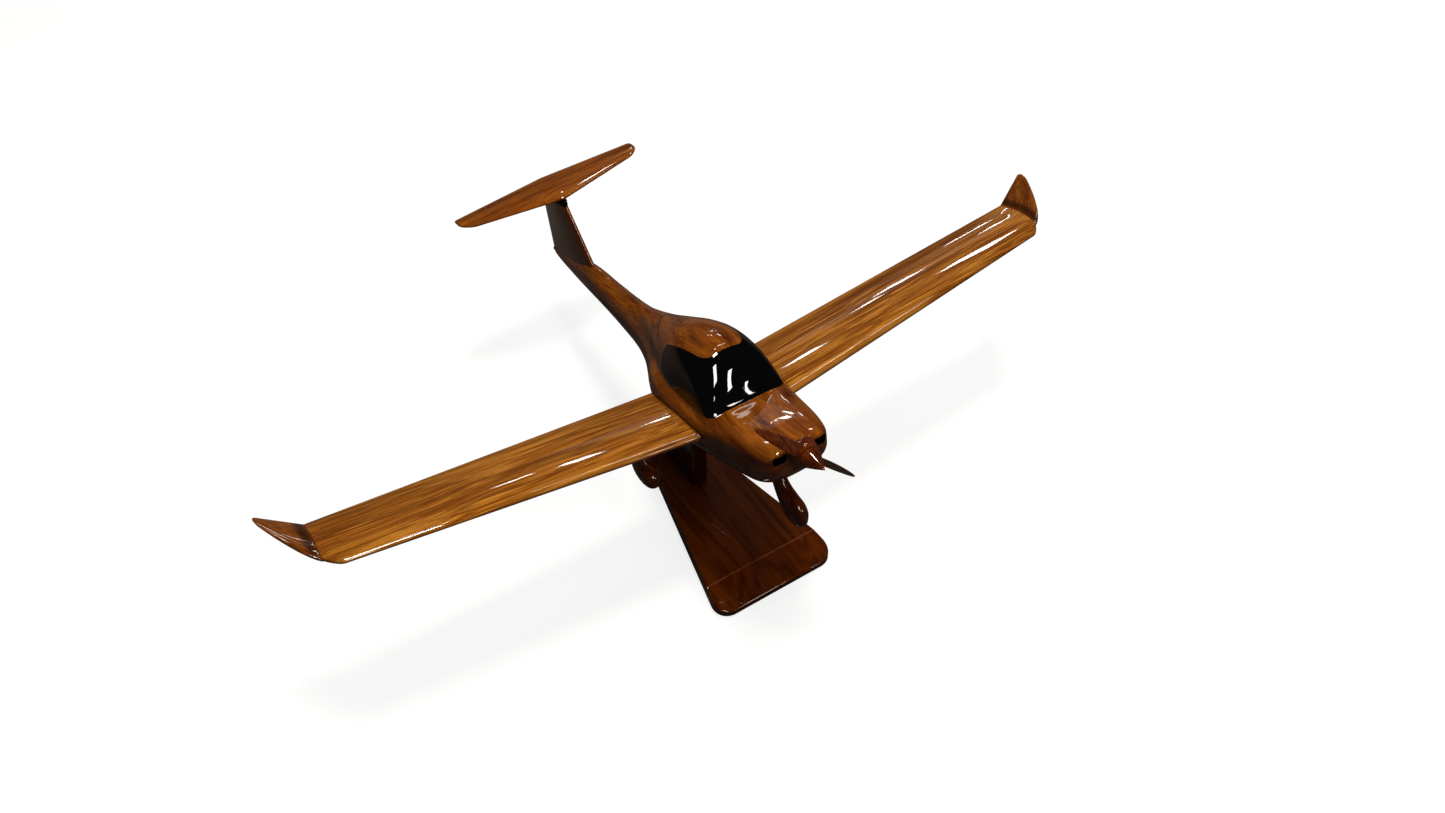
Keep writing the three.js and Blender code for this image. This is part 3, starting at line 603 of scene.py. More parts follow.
def turned(name, ys, radii, around=96):
    """A body turned about the propeller's axis."""
    angle = circle(around)
    rings = [np.stack([r * np.cos(angle), np.full(around, y), PROP["z"] + r * np.sin(angle)], axis=1)
             for y, r in zip(ys, radii)]
    return loft(name, rings)


def build_plate(edge=0.25):
    """The spinner's rearmost slice, its two rims eased."""
    rear, front = PROP["rear"], PROP["plate_front"]
    ys = np.array([rear, rear - edge * 0.3, *np.linspace(rear - edge, front + edge, 4),
                   front + edge * 0.3, front])
    ease = np.array([edge, edge * 0.3, 0, 0, 0, 0, edge * 0.3, edge])
    return smooth(turned("spinner_plate", ys, spinner_radius(ys) - ease), 60)


def build_cone():
    ys = lerp(PROP["cone_rear"] - 0.25, PROP["tip"], crowded(46, 1.6))
    radii = np.maximum(spinner_radius(ys), 0.04)
    eased_rim = [radii[0] - 0.2]
    return smooth(turned("spinner_nose", [PROP["cone_rear"], *ys], [*eased_rim, *radii]), 60)


def blade_rings(half_turns):
    """Sections of one blade, from inside the hub out to a rounded tip."""
    reach, root = PROP["reach"], 3.0
    chord = profile((root, 6.4), (9, 8.8), (16, 9.2), (26, 7.2), (36, 4), (reach, 1.2))
    angle = circle(36)
    rings = []
    for r in lerp(root, reach, crowded(44, 1.4)):
        close = max(rounded_end(reach - r, 1.2), 0.2)
        u = np.cos(angle) * chord(r) / 2 * close
        w = np.sin(angle) * lerp(2.6, 0.8, r / reach) / 2 * close
        across, back = rotated(u, w, BLADE_PITCH * (1 - 0.25 * r / reach))
        x, z = rotated(r, across, BLADE_TURN - half_turns * math.pi)
        rings.append(np.stack([x, PROP["blade_y"] + back, PROP["z"] + z], axis=1))
    return rings


def build_propeller():
    """Two blades and their hub, cut clear of the backplate behind and the cone in front."""
    clear = PROP["radius"] + 0.3
    propeller = loft("propeller_carved", blade_rings(0))
    boolean(propeller, loft("second", blade_rings(1)), "UNION")
    rear, front = PROP["hub"]
    for low, high in ((rear, rear + 8), (front - 8, front)):
        boolean(propeller, turned("room", [low, high], [clear, clear]), "DIFFERENCE")
    ys = np.linspace(rear, front, 6)
    return smooth(boolean(propeller, turned("hub", ys, spinner_radius(ys)), "UNION"), 50)


# ---------------- landing gear

def pod(name, path, widths, heights, steps=64, around=56, squareness=2.3):
    """Oval sections strung along a smooth path; across is level and up is square to the path."""
    fine = np.linspace(0, len(path) - 1, steps)
    x, y, z, width, height = (profile(*enumerate(values))(fine) for values in (*zip(*path), widths, heights))
    line = np.stack([x, y, z], axis=1)
    ahead = unit(np.gradient(line, axis=0))
    across = unit(np.cross((0, 0, 1), ahead))
    upward = np.cross(ahead, across)
    angle = circle(around)
    power = 2 / squareness
    u = np.sign(np.cos(angle)) * np.abs(np.cos(angle)) ** power
    v = np.sign(np.sin(angle)) * np.abs(np.sin(angle)) ** power
    rings = [line[i] + np.outer(u * width[i] / 2, across[i]) + np.outer(v * height[i] / 2, upward[i])
             for i in range(steps)]
    return loft(name, rings)


def build_nose_gear():
    """Leg and spat in one: it leaves the belly steeply and levels out ahead."""
    path = [(0, -25, -15), (0, -27.6, -23), (0, -31.6, -30), (0, -37.6, -35.8), (0, -43.4, -38.8),
            (0, -48, -40.2), (0, -50.2, -40.4)]
    gear = pod("nose_gear_carved", path, [7.4, 7.2, 8, 9.6, 10, 7.6, 2.4], [8, 8.6, 11.8, 15.6, 16, 12, 4])
    return trim_to_hull(gear, -51, 40, 110)


LEG_Y, SPAT_X, SPAT_NOSE, SPAT_RISE = 33, 47.2, (22.4, -39), 0.12


def build_leg(name, side):
    path = [(side * x, LEG_Y, z) for x, z in ((20, -14), (28, -19.6), (36, -26), (44, -32.4))]
    return trim_to_hull(pod(name, path, [13, 11, 9, 8], [4.6, 4.2, 3.8, 3.6], steps=30), -10, 80, 110)


def build_spat(name, side):
    stations = [0, 1.4, 4.4, 9.4, 15.4, 21.4, 26.4, 28.8]
    path = [(side * SPAT_X, SPAT_NOSE[0] + s, SPAT_NOSE[1] + SPAT_RISE * s) for s in stations]
    spat = pod(name, path, [1.2, 6, 9, 10.4, 10, 7.6, 4.4, 1], [1.6, 7.4, 11.4, 13.4, 12.6, 9.4, 5.4, 1.4])
    return smooth(spat, 60)


# ---------------- stand

CORNER, REAR_CORNER, REAR_HALF = 12, 8, 12.5  # corner radii and half-width at the rear
CREASE_Y, BEVEL_DROP, CREASE_SOFT = -69, 6, 0.02
EDGE = 0.9  # the radius of the top's rounded edge
FELT_INSET = 3


def stand_half_widths(inset):
    """Distances along the base and its half-width there, with rounded corners."""
    low, high = box_mm("stand_base")
    front, rear, front_half = low[1] + inset, high[1] - inset, high[0] - inset
    rear_half = REAR_HALF - inset
    front_turn, rear_turn = CORNER - inset, REAR_CORNER - inset
    sweep = 1 - np.cos(np.linspace(0, np.pi / 2, 12))
    near_crease = CREASE_Y + 5 * np.linspace(-1, 1, 31)
    ys = np.concatenate([front + front_turn * sweep, near_crease, np.linspace(-60, 30, 24),
                         rear - rear_turn * sweep])
    ys = np.unique(np.round(ys, 4))
    straight = lerp(front_half, rear_half, (ys - front) / (rear - front))
    cut = front_turn * (1 - rounded_end(ys - front, front_turn))
    rear_cut = rear_turn * (1 - rounded_end(rear - ys, rear_turn))
    return ys, straight - cut - rear_cut


def stand_top(y):
    """The base's top: level, then a bevel that falls to the front, with the crease between eased."""
    low, high = box_mm("stand_base")
    slope = BEVEL_DROP / (CREASE_Y - low[1])
    fall = (CREASE_Y - y) * slope
    return high[2] - (fall + np.sqrt(fall**2 + CREASE_SOFT)) / 2


def stand_ring(inset, z=None, below_top=0.0):
    """One closed ring of the base, at a height or at a depth below its top."""
    ys, half = stand_half_widths(inset)
    ys, half = np.concatenate([ys, ys[::-1]]), np.concatenate([half, -half[::-1]])
    heights = stand_top(ys) - below_top if z is None else np.full_like(ys, z)
    return np.stack([half, ys, heights], axis=1)


def build_base():
    foot = box_mm("stand_base")[0][2]
    rings = [stand_ring(0.5, foot), stand_ring(0, foot + 0.5)]
    for turn in np.linspace(0, np.pi / 2, 7):
        rings.append(stand_ring(EDGE * (1 - math.cos(turn)), below_top=EDGE * (1 - math.sin(turn))))
    return smooth(ladder("base_carved", rings), 30)


def build_felt():
    low, high = box_mm("base_felt")
    layers = ((0.5, low[2]), (0.1, low[2] + 0.25), (0, low[2] + 0.5), (0, high[2] + 0.1))
    return smooth(ladder("felt_pad", [stand_ring(FELT_INSET + inset, z) for inset, z in layers]), 50)


def build_upright():
    """A plank whose top is hollowed to the belly that it carries."""
    low, high = box_mm("stand_upright")
    outline = rounded_rectangle(low[:2], high[:2], 0.8, 8)
    rings = [np.insert(outline, 2, z, axis=1) for z in np.linspace(low[2], high[2] + 3, 30)]
    upright = loft("upright_plank", rings, on_stand=True)
    trim_to_hull(upright, NOSE_Y, 160, 200, gap=0.12)
    above = prism("above", [(-30, -40), (30, -40), (30, 80), (-30, 80)], 2, high[2] - 1, 200, on_stand=True)
    return smooth(boolean(upright, above, "DIFFERENCE"), 40)


# ---------------- materials

class Graph:
    """A short way to write the nodes of a material or a world."""

    def __init__(self, owner):
        self.owner = owner
        owner.use_nodes = True
        self.nodes = owner.node_tree.nodes
        self.links = owner.node_tree.links

    def put(self, socket, value):
        if isinstance(value, bpy.types.NodeSocket):
            self.links.new(value, socket)
        else:
            socket.default_value = value

    def node(self, kind, inputs=None, **settings):
        made = self.nodes.new("ShaderNode" + kind)
        for key, value in settings.items():
            setattr(made, key, value)
        for key, value in (inputs or {}).items():
            self.put(made.inputs[key], value)
        return made

    def maths(self, operation, *values):
        return self.node("Math", dict(enumerate(values)), operation=operation).outputs[0]

    def vector(self, operation, *values, output="Vector"):
        return self.node("VectorMath", dict(enumerate(values)), operation=operation).outputs[output]

    def noise(self, along, across, source=None, detail=2.0, roughness=0.5, distortion=0.0, output="Fac"):
        """Noise with its own scale along the grain and across it; source can give other coordinates."""
        place_at = self.vector("MULTIPLY", source or self.grain(), (along, across, across))
        inputs = {"Vector": place_at, "Scale": 1.0, "Detail": detail, "Roughness": roughness,
                  "Distortion": distortion}
        return self.node("TexNoise", inputs).outputs[output]

    def ramp(self, value, low, high, start=0.0, end=1.0):
        inputs = {"Value": value, "From Min": low, "From Max": high, "To Min": start, "To Max": end}
        return self.node("MapRange", inputs).outputs[0]

    def mix(self, share, a, b):
        """A blend of two colours."""
        return self.node("Mix", {0: share, 6: a, 7: b}, data_type="RGBA").outputs[2]

    def pick(self, share, a, b):
        """A blend of two numbers."""
        return self.node("Mix", {0: share, 2: a, 3: b}, data_type="FLOAT").outputs[0]

    def attribute(self, name, output="Vector"):
        return self.node("Attribute", attribute_name=name).outputs[output]

    def grain(self):
        """The piece's own grain coordinates in millimetres: along the fibres, then across them."""
        return self.attribute("grain")

    def axis(self, vector, index):
        return self.node("SeparateXYZ", {0: vector}).outputs[index]

    def geometry(self, output):
        return self.node("NewGeometry").outputs[output]

    def bump(self, height, strength, distance):
        """Relief of a depth given in millimetres."""
        inputs = {"Strength": strength, "Distance": distance * MM, "Height": height}
        return self.node("Bump", inputs).outputs["Normal"]

    def finish(self, **values):
        """Sets the finish itself, and gives back the material."""
        surface = self.nodes["Principled BSDF"]
        for key, value in values.items():
            self.put(surface.inputs[key.replace("_", " ")], value)
        return self.owner


def material_graph(name):
    return Graph(bpy.data.materials.new(name))


def linear(red, green, blue):
    """A linear colour from 8-bit display values."""
    parts = [(v / 255 / 12.92) if v <= 10 else ((v / 255 + 0.055) / 1.055) ** 2.4 for v in (red, green, blue)]
    return (*parts, 1.0)


def shade(color, *factors):
    """A colour times one factor, or times one for each channel."""
    factors = factors * 3 if len(factors) == 1 else factors
    return (*(c * f for c, f in zip(color, factors)), 1.0)


def lacquer(graph, wave, wave_length=16.0, haze=0.03):
    """A clear gloss coat with the slow waviness and faint ripple of hand-rubbed lacquer."""
    slow = graph.noise(0.6 / wave_length, 1 / wave_length, detail=1.5)
    ripple = graph.noise(0.05, 0.35, detail=1)
    height = graph.maths("MULTIPLY_ADD", ripple, 0.16, slow)
    smear = graph.noise(0.03, 0.06, detail=3)
    coat_roughness = graph.ramp(smear, 0.3, 0.75, haze * 0.6, haze * 1.8)
    return {"Coat_Weight": 1.0, "Coat_IOR": 1.52, "Coat_Roughness": coat_roughness,
            "Coat_Normal": graph.bump(height, 1.0, wave)}


def wood_grain(graph, swirl):
    """Grain coordinates swayed by slow noise, as fibres wander in a block."""
    warp = graph.noise(0.012, 0.03, output="Color")
    sway = graph.vector("SUBTRACT", warp, (0.5, 0.5, 0.5))
    return graph.vector("ADD", graph.grain(), graph.vector("MULTIPLY", sway, (0, swirl * 2, swirl * 2)))


def growth_rings(graph, grain, spacing):
    """Wobbling rings round the grain's axis, from 0 to 1 and back."""
    across = graph.vector("MULTIPLY", grain, (0, 1, 1))
    radius = graph.vector("LENGTH", across, output="Value")
    wobble = graph.noise(0.006, 0.05, grain)
    phase = graph.maths("MULTIPLY_ADD", wobble, 9.0, graph.maths("DIVIDE", radius, spacing))
    return graph.ramp(graph.maths("PINGPONG", phase, 1.0), 0.05, 0.95)


def mahogany(name, dark, middle, light, swirl=5.0, rings=7.0, streak=0.75, painted_sheen=0.35, wave=0.07,
             fineness=1.0, painted_flank_shade=0.75, marks=()):
    """Lacquered mahogany cut from a solid block: growth rings, ribbon streaks and pores, with a sheen painted in
    as pale bands and flecks.

    Shade is painted in where a surface turns down, and the marks are drawn over the grain.
    """
    graph = material_graph(name)
    grain = wood_grain(graph, swirl)
    ring = growth_rings(graph, grain, rings)
    broad = graph.noise(0.006 * fineness, 0.13 * fineness, grain)
    stripe = graph.noise(0.007 * fineness, 0.42 * fineness, grain, detail=3, roughness=0.7)
    fine = graph.noise(0.018, 1.0, grain, detail=4, roughness=0.7)
    pores = graph.noise(0.16, 4.5, grain)
    bands = graph.noise(0.012, 0.09, grain)
    painted_glints = graph.noise(0.02, 0.8, grain)
    bright, deepest = shade(light, 1.25), shade(dark, 0.3)
    faces_up = graph.axis(graph.geometry("Normal"), 2)

    layers = [  # how much of each colour is laid over what lies below it
        (graph.maths("MULTIPLY", ring, 0.4), light),
        (graph.ramp(stripe, 0.44, 0.34, 0.0, streak), dark),
        (graph.ramp(stripe, 0.58, 0.70, 0.0, streak * 0.8), light),
        (graph.ramp(fine, 0.42, 0.56, streak, 0.0), dark),
        # painted sheen: pale bands and flecks laid on the grain as lit colour
        (graph.ramp(bands, 0.52, 0.74, 0.0, painted_sheen), light),
        (graph.ramp(pores, 0.60, 0.72, 0.0, 0.65), shade(dark, 0.35)),
        (graph.ramp(painted_glints, 0.58, 0.72, 0.0, painted_sheen), bright),
        # painted shade: darker where the surface turns down, as an unlit flank looks
        (graph.ramp(faces_up, 0.75, 0.05, 0.0, painted_flank_shade), shade(dark, 0.55, 0.4, 0.3)),
    ]
    base = graph.mix(graph.ramp(broad, 0.34, 0.66), dark, middle)
    for share, color in layers:
        base = graph.mix(share, base, color)
    for mark in marks:
        base = mark(graph, base, deepest)
    sheen = graph.ramp(bands, 0.3, 0.7, 0.52, 0.34)
    return graph.finish(Base_Color=base, Roughness=sheen, Specular_IOR_Level=0.08, Specular_Tint=bright,
                        Normal=graph.bump(fine, 0.25, 0.02), **lacquer(graph, wave))


def distance_to(graph, axis, level):
    """How far along an axis of the piece's own frame (0, 1 or 2) a point is from a level, either way."""
    return graph.maths("ABSOLUTE", graph.maths("SUBTRACT", graph.axis(graph.attribute("local"), axis), level))


def glue_line(height):
    """A mark: the thin dark line where two blocks are glued."""
    def draw(graph, base, deepest):
        return graph.mix(graph.ramp(distance_to(graph, 2, height), 0.2, 0.7, 0.7, 0.0), base, deepest)
    return draw


def crease_highlight(y, color):
    """A mark: a painted highlight along a crease across the piece, pale and broken up."""
    def draw(graph, base, deepest):
        line = graph.ramp(distance_to(graph, 1, y), 0.15, 0.6, 1.0, 0.0)
        # breaks the painted highlight into patches
        breakup = graph.ramp(graph.noise(0.05, 0.05, detail=3), 0.35, 0.6, 0.1, 0.6)
        return graph.mix(graph.maths("MULTIPLY", line, breakup), base, color)
    return draw


def joint_line(graph, base, deepest):
    """A mark: the dark line along a joint with the hull, where mark_joint has recorded it."""
    near = graph.attribute("joint", "Fac")
    return graph.mix(graph.ramp(near, 0.1, 0.8, 0.0, 0.85), base, deepest)


def crease_painted_shade(place_x, width):
    """A mark: painted shade in a crease that runs fore and aft on each side of the aircraft."""
    def draw(graph, base, deepest):
        away = graph.maths("ABSOLUTE", graph.maths("SUBTRACT", distance_to(graph, 0, 0.0), place_x))
        return graph.mix(graph.ramp(away, width * 0.3, width, 0.8, 0.0), base, deepest)
    return draw


def black_paint(name, roughness=0.25, coat=1.0):
    """Deep black gloss paint: brushed on, so faintly uneven in tone and level."""
    graph = material_graph(name)
    cloud = graph.noise(0.05, 0.05, detail=3)
    tone = graph.mix(cloud, (0.0006, 0.0006, 0.0007, 1), (0.0024, 0.0025, 0.0027, 1))
    rough = graph.ramp(cloud, 0.3, 0.7, roughness * 0.8, roughness * 1.25)
    values = {**lacquer(graph, 0.04, 22.0, 0.02), "Coat_Weight": coat}
    return graph.finish(Base_Color=tone, Roughness=rough, Specular_IOR_Level=0.0, **values)


def metal(name, color, roughness=0.3):
    """Drawn or turned metal with fine lines and a little tarnish."""
    graph = material_graph(name)
    lines = graph.noise(0.2, 3, detail=3)
    stain = graph.noise(0.15, 0.15, detail=3)
    tone = graph.mix(graph.ramp(stain, 0.45, 0.75, 0, 0.5), color, shade(color, 0.55))
    rough = graph.ramp(lines, 0.3, 0.7, roughness * 0.7, roughness * 1.4)
    return graph.finish(Base_Color=tone, Metallic=1.0, Roughness=rough, Normal=graph.bump(lines, 0.3, 0.02))


def bare_dowel(name):
    """Unfinished turned beech with short flecks along the grain."""
    graph = material_graph(name)
    flecks = graph.noise(0.5, 5, detail=3)
    tone = graph.mix(graph.ramp(flecks, 0.4, 0.65), linear(205, 164, 112), linear(158, 112, 66))
    return graph.finish(Base_Color=tone, Roughness=0.62, Normal=graph.bump(flecks, 0.4, 0.05))


def felt_cloth(name):
    """Dark green felt: matted fibres with a soft nap."""
    graph = material_graph(name)
    fibres = graph.noise(2.2, 2.2, detail=5, roughness=0.75, distortion=1.2)
    tone = graph.mix(graph.ramp(fibres, 0.35, 0.68), linear(16, 40, 26), linear(44, 84, 56))
    return graph.finish(Base_Color=tone, Roughness=0.95, Specular_IOR_Level=0.1, Sheen_Weight=0.5,
                        Normal=graph.bump(fibres, 0.8, 0.25))


# ---------------- dressing pieces

JOINT_REACH = 1.3  # how far from the hull a joint's dark line shows, in millimetres


def write_attribute(mesh, name, values, kind="FLOAT_VECTOR", field="vector"):
    attribute = mesh.attributes.new(name, kind, "POINT")
    attribute.data.foreach_set(field, np.asarray(values, np.float32).ravel())


def paint(piece, material, grain):
    """Gives a piece one material, and the coordinates along and across its grain."""
    piece.data.materials.clear()
    piece.data.materials.append(material)
    write_attribute(piece.data, "grain", grain)


def fit(piece, node, material, fibres, offset=(0, 0, 0)):
    """Puts a finished piece in its CAD node's stead; fibres lists the axes along, across and through."""
    local = unplace(coordinates(piece.data), on_stand=BODY_OF[node] == "stand")
    paint(piece, material, local @ np.array(fibres).T + offset)
    write_attribute(piece.data, "local", local)
    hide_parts(node)
    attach(piece, BODY_OF[node])


def mark_joint(piece):
    """Records how near each point of a wing or fin is to the hull."""
    away = hull_field(unplace(coordinates(piece.data)))
    write_attribute(piece.data, "joint", np.clip(1 - away / JOINT_REACH, 0, 1), "FLOAT", "value")
    return piece


def fibre_axes(along, through=(0, 0, 1)):
    """Three axes at right angles, the first of them along the fibres."""
    along = unit(np.array(along, float))
    across = unit(np.cross(through, along))
    return [along, across, np.cross(along, across)]


LENGTHWISE = fibre_axes((0, 1, 0))
SPANWISE = fibre_axes((1, 0, 0))
UPWARDS = fibre_axes((0, 0, 1), (1, 0, 0))

RED = linear(72, 24, 1), linear(130, 64, 6), linear(172, 98, 22)  # dark, middle and light
GOLD = linear(102, 49, 3), linear(158, 90, 15), linear(204, 136, 50)
# a darker mahogany for the gear, its darkness partly painted shade
DEEP_AND_SHADED = linear(46, 11, 0), linear(84, 30, 1), linear(122, 58, 5)
FIN_RED = RED[0], linear(122, 54, 5), linear(156, 80, 14)
WINGLET_RED = linear(70, 28, 1), linear(124, 61, 7), linear(164, 94, 28)
TAIL_RED = linear(88, 34, 2), linear(142, 72, 5), linear(174, 100, 18)
SPINNER_RED = linear(46, 12, 2), linear(90, 34, 6), linear(120, 56, 14)
# the stand's darker mahogany, darkened further as painted shade from the aircraft above
BASE_DARK_AND_SHADED = linear(50, 14, 0), linear(76, 27, 1), linear(106, 48, 3)
# painted shade: the upright's wood a step darker, as it stands in the aircraft's shadow
UPRIGHT_SHADED = linear(24, 5, 0), DEEP_AND_SHADED[0], DEEP_AND_SHADED[1]
# the pale colour of the painted highlight on the base's crease
CREASE_HIGHLIGHT_COLOR = linear(140, 80, 52)
WINGLET_CREASE = 222.6, 3.2  # where its painted shade is darkest and how far it spreads

body_wood = mahogany("mahogany_body", *RED, swirl=9, rings=5, streak=0.45, marks=[glue_line(GLUE_HEIGHT)])
fin_wood = mahogany("mahogany_small", *FIN_RED, swirl=3, rings=4, wave=0.03, marks=[joint_line])
wing_wood = mahogany("mahogany_wing", *GOLD, swirl=3, rings=6, streak=0.85, painted_sheen=0.6, fineness=1.5,
                     painted_flank_shade=1.0, marks=[joint_line])
winglet_wood = mahogany("mahogany_winglet", *WINGLET_RED, swirl=10, rings=3, streak=0.6,
                        marks=[crease_painted_shade(*WINGLET_CREASE)])
tail_wood = mahogany("mahogany_tail", *TAIL_RED, swirl=3, wave=0.03, streak=0.6)
spinner_wood = mahogany("mahogany_spinner", *SPINNER_RED, swirl=2, rings=3, streak=0.4, painted_flank_shade=0.0)
deep_shaded_wood = mahogany("mahogany_deep_shaded", *DEEP_AND_SHADED, swirl=3, rings=6, streak=0.6)
base_wood = mahogany("mahogany_base", *BASE_DARK_AND_SHADED, swirl=1, rings=3, streak=0.35, painted_sheen=0.15, wave=0.04,
                     fineness=2.5, marks=[crease_highlight(CREASE_Y, CREASE_HIGHLIGHT_COLOR)])
upright_shaded_wood = mahogany("mahogany_upright_shaded", *UPRIGHT_SHADED, swirl=2, streak=0.4, painted_flank_shade=0.2)
glass_black = black_paint("gloss_black")
recess_black = black_paint("recess_black", 0.5, 0.2)
steel = metal("steel_drawn", (0.58, 0.57, 0.55, 1))
brass = metal("brass_turned", (0.76, 0.56, 0.26, 1), 0.25)
beech = bare_dowel("beech_dowel")
felt = felt_cloth("felt_green")


def build_body():
    lower, roof = build_fuselage()
    for piece, node in ((lower, "fuselage"), (roof, "roof_block")):
        fit(piece, node, body_wood, LENGTHWISE, (0, 0, 26))
    fit(build_glazing(), "canopy_glazing", glass_black, LENGTHWISE)
    fit(chin_liner(), "chin_intake", recess_black, LENGTHWISE)
    fit(build_nose_gear(), "nose_gear", deep_shaded_wood, fibre_axes((0, -0.6, -1), (1, 0, 0)))


def build_side(side, label):
    """Everything that the aircraft has on each side; side is 1 to port and -1 to starboard."""
    slope = (WING["tip"][2] - WING["root"][2]) / (WING["tip_x"] - WING["root_x"])
    wing_fibres = fibre_axes((1, 0.01 * side, side * slope))
    winglet_fibres = fibre_axes((0.5, side * 0.7, side * 0.5))
    wing = mark_joint(build_wing(f"wing_{label}_carved", side))
    winglet = build_winglet(f"winglet_{label}_carved", side)
    inlet = inlet_liner(side, f"inlet_{label}_cup")
    leg = build_leg(f"leg_{label}_carved", side)
    spat = build_spat(f"spat_{label}_carved", side)
    fit(wing, f"wing_{label}", wing_wood, wing_fibres, (70 * side, 30, 40))
    fit(winglet, f"winglet_{label}", winglet_wood, winglet_fibres, (side * 40, 8, 12))
    fit(inlet, f"inlet_{label}", recess_black, LENGTHWISE)
    fit(leg, f"main_leg_{label}", deep_shaded_wood, fibre_axes((1, 0, -0.8 * side)))
    fit(spat, f"main_spat_{label}", deep_shaded_wood, LENGTHWISE, (9 * side, 4, 50))


def build_tail():
    fit(build_tailplane(), "tailplane", tail_wood, SPANWISE, (15, 20, 8))
    fit(mark_joint(build_fin()), "fin", fin_wood, fibre_axes((0, 0.6, 1), (1, 0, 0)), (0, 12, 20))
    fit(build_saddle(), "tailplane_saddle", recess_black, LENGTHWISE)


def build_spinner():
    fit(build_plate(), "spinner_backplate", spinner_wood, LENGTHWISE, (0, 4, 6))
    along_blade = fibre_axes((math.cos(BLADE_TURN), 0, -math.sin(BLADE_TURN)), (0, 1, 0))
    fit(build_propeller(), "propeller_blades", spinner_wood, along_blade, (0, 6, 3))
    fit(build_cone(), "spinner_cone", spinner_wood, LENGTHWISE, (0, 5, 9))


def build_stand():
    fit(build_base(), "stand_base", base_wood, LENGTHWISE, (0, 0, 30))
    fit(build_upright(), "stand_upright", upright_shaded_wood, UPWARDS, (0, 10, 30))
    fit(build_felt(), "base_felt", felt, LENGTHWISE)


def dress_inner_parts():
    """The pins, dowels and screws keep their CAD shapes and get their real surfaces."""
    finishes = {"steel": steel, "brass": brass, "beech": beech}
    for node, piece in frame["nodes"].items():
        if SLOT_OF[node] in finishes:
            paint(piece, finishes[SLOT_OF[node]], unplace(coordinates(piece.data), on_stand=True))


# ---------------- floor, light and camera

CAMERA_PLACE = (-0.2372, -0.3977, 0.5993)
CAMERA_AZIMUTH, CAMERA_ELEVATION, CAMERA_ROLL = (math.radians(a) for a in (-32.66, 48.37, -0.21))
CAMERA_LENS, SENSOR = 30.23, 36.0

CEILING = 2.2  # the height of every softbox
PANEL_GLOW = 25.0
PANEL_COLOR = (1.0, 0.97, 0.92)
BACKDROP = (1.0, 0.99, 0.98, 1)
ROOM_GLOW = 0.02  # of the room that shiny surfaces mirror
FILL_FROM = (0.51, 0.86, 0.0)
FILL_GLOW = (0.14, 0.9)  # least and greatest glow of the fill, which only matt surfaces see
TABLE_NEAR, TABLE_FAR = (0.05, 0.045, 0.04, 1), (0.14, 0.105, 0.08, 1)
PAPER, PAPER_GLOW = (0.26, 0.26, 0.26, 1), 0.78
SOFTBOXES = [  # x, y, size and relative glow of each softbox, from overhead outwards
    (0.1, -0.03, (0.35, 0.25), 3.2), (0.3, 0.57, (0.12, 0.12), 1), (0.88, 0.72, (0.6, 0.05), 1),
    (-0.1, -1.45, (0.28, 0.95), 1), (1.0, -2.4, (0.2, 0.7), 1), (1.6, -3.05, (0.1, 0.35), 1),
    (1.82, 2.33, (0.13, 0.55), 1), (1.16, 2.53, (0.12, 0.24), 1), (1.0, 2.92, (0.14, 0.12), 1),
    (2.1, 4.22, (0.14, 0.22), 1), (2.5, 4.72, (0.14, 0.5), 1), (3.15, 4.7, (0.12, 0.3), 1),
    (4.4, 7.3, (0.12, 0.7), 1), (2.4, 4.8, (1.1, 1.7), 0.014), (4.3, 7.0, (2.0, 2.8), 0.006),
]


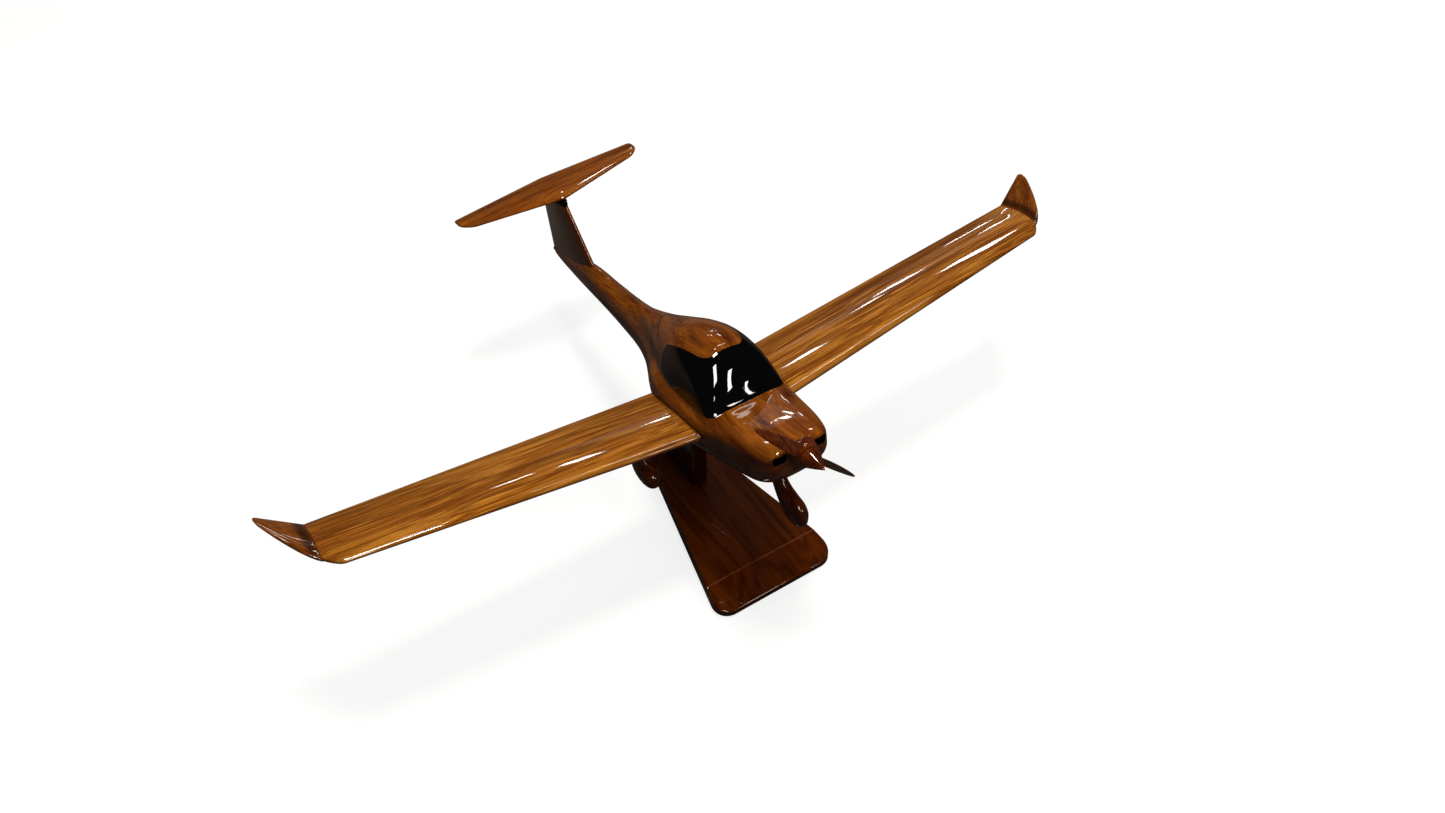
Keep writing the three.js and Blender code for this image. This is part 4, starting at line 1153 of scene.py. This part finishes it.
def make_floor():
    """A pale sweep to the camera; to everything else a table, dim near the object and paler aft of it."""
    graph = material_graph("floor_paper")
    seen = graph.node("LightPath").outputs["Is Camera Ray"]
    aft_share = graph.ramp(graph.axis(graph.geometry("Position"), 1), 0.15, 0.4)
    tone = graph.mix(seen, graph.mix(aft_share, TABLE_NEAR, TABLE_FAR), PAPER)
    graph.finish(Base_Color=tone, Roughness=0.9, Specular_IOR_Level=0.0, Emission_Color=(1, 1, 1, 1),
                 Emission_Strength=graph.maths("MULTIPLY", seen, PAPER_GLOW))
    bpy.ops.mesh.primitive_plane_add(size=12, location=(0, 0, 0))
    floor = bpy.context.object
    floor.name = "floor"
    floor.data.materials.append(graph.owner)


def softbox(x, y, size, glow):
    light = bpy.data.lights.new("softbox", "AREA")
    light.shape = "RECTANGLE"
    light.size, light.size_y = size
    light.energy = glow * PANEL_GLOW * math.pi * size[0] * size[1]
    light.color = PANEL_COLOR
    link("softbox", light).location = (x, y, CEILING)


def make_world():
    """A white backdrop to the camera, a dim room to reflections and a soft fill, brightest from aft."""
    world = bpy.data.worlds.new("studio")
    bpy.context.scene.world = world
    graph = Graph(world)
    rays = graph.node("LightPath").outputs
    direction = graph.node("TexCoord").outputs["Generated"]
    towards = graph.vector("DOT_PRODUCT", direction, FILL_FROM, output="Value")
    fill = graph.ramp(towards, 0.0, 1.0, *FILL_GLOW)
    unseen = graph.pick(rays["Is Diffuse Ray"], ROOM_GLOW, fill)
    background = graph.nodes["Background"]
    graph.put(background.inputs["Color"], BACKDROP)
    graph.put(background.inputs["Strength"], graph.pick(rays["Is Camera Ray"], unseen, 1.0))


def make_camera():
    """The photograph's place, direction and slight roll."""
    camera = link("camera", bpy.data.cameras.new("camera"))
    camera.data.lens = CAMERA_LENS
    camera.data.sensor_width = SENSOR
    camera.data.clip_start = 0.01
    a, e = CAMERA_AZIMUTH, CAMERA_ELEVATION
    back = Vector((math.sin(a) * math.cos(e), -math.cos(a) * math.cos(e), math.sin(e)))
    level = Vector((math.cos(a), math.sin(a), 0))
    rise = back.cross(level)
    right, upward = rotated(level, rise, -CAMERA_ROLL)
    turn = Matrix((right, upward, back)).transposed()
    camera.matrix_world = Matrix.Translation(CAMERA_PLACE) @ turn.to_4x4()
    bpy.context.scene.camera = camera


build_body()
for side, label in ((1, "port"), (-1, "starboard")):
    build_side(side, label)
build_tail()
build_spinner()
build_stand()
dress_inner_parts()
make_floor()
make_world()
for box in SOFTBOXES:
    softbox(*box)
make_camera()
bpy.context.scene.view_settings.view_transform = "Standard"
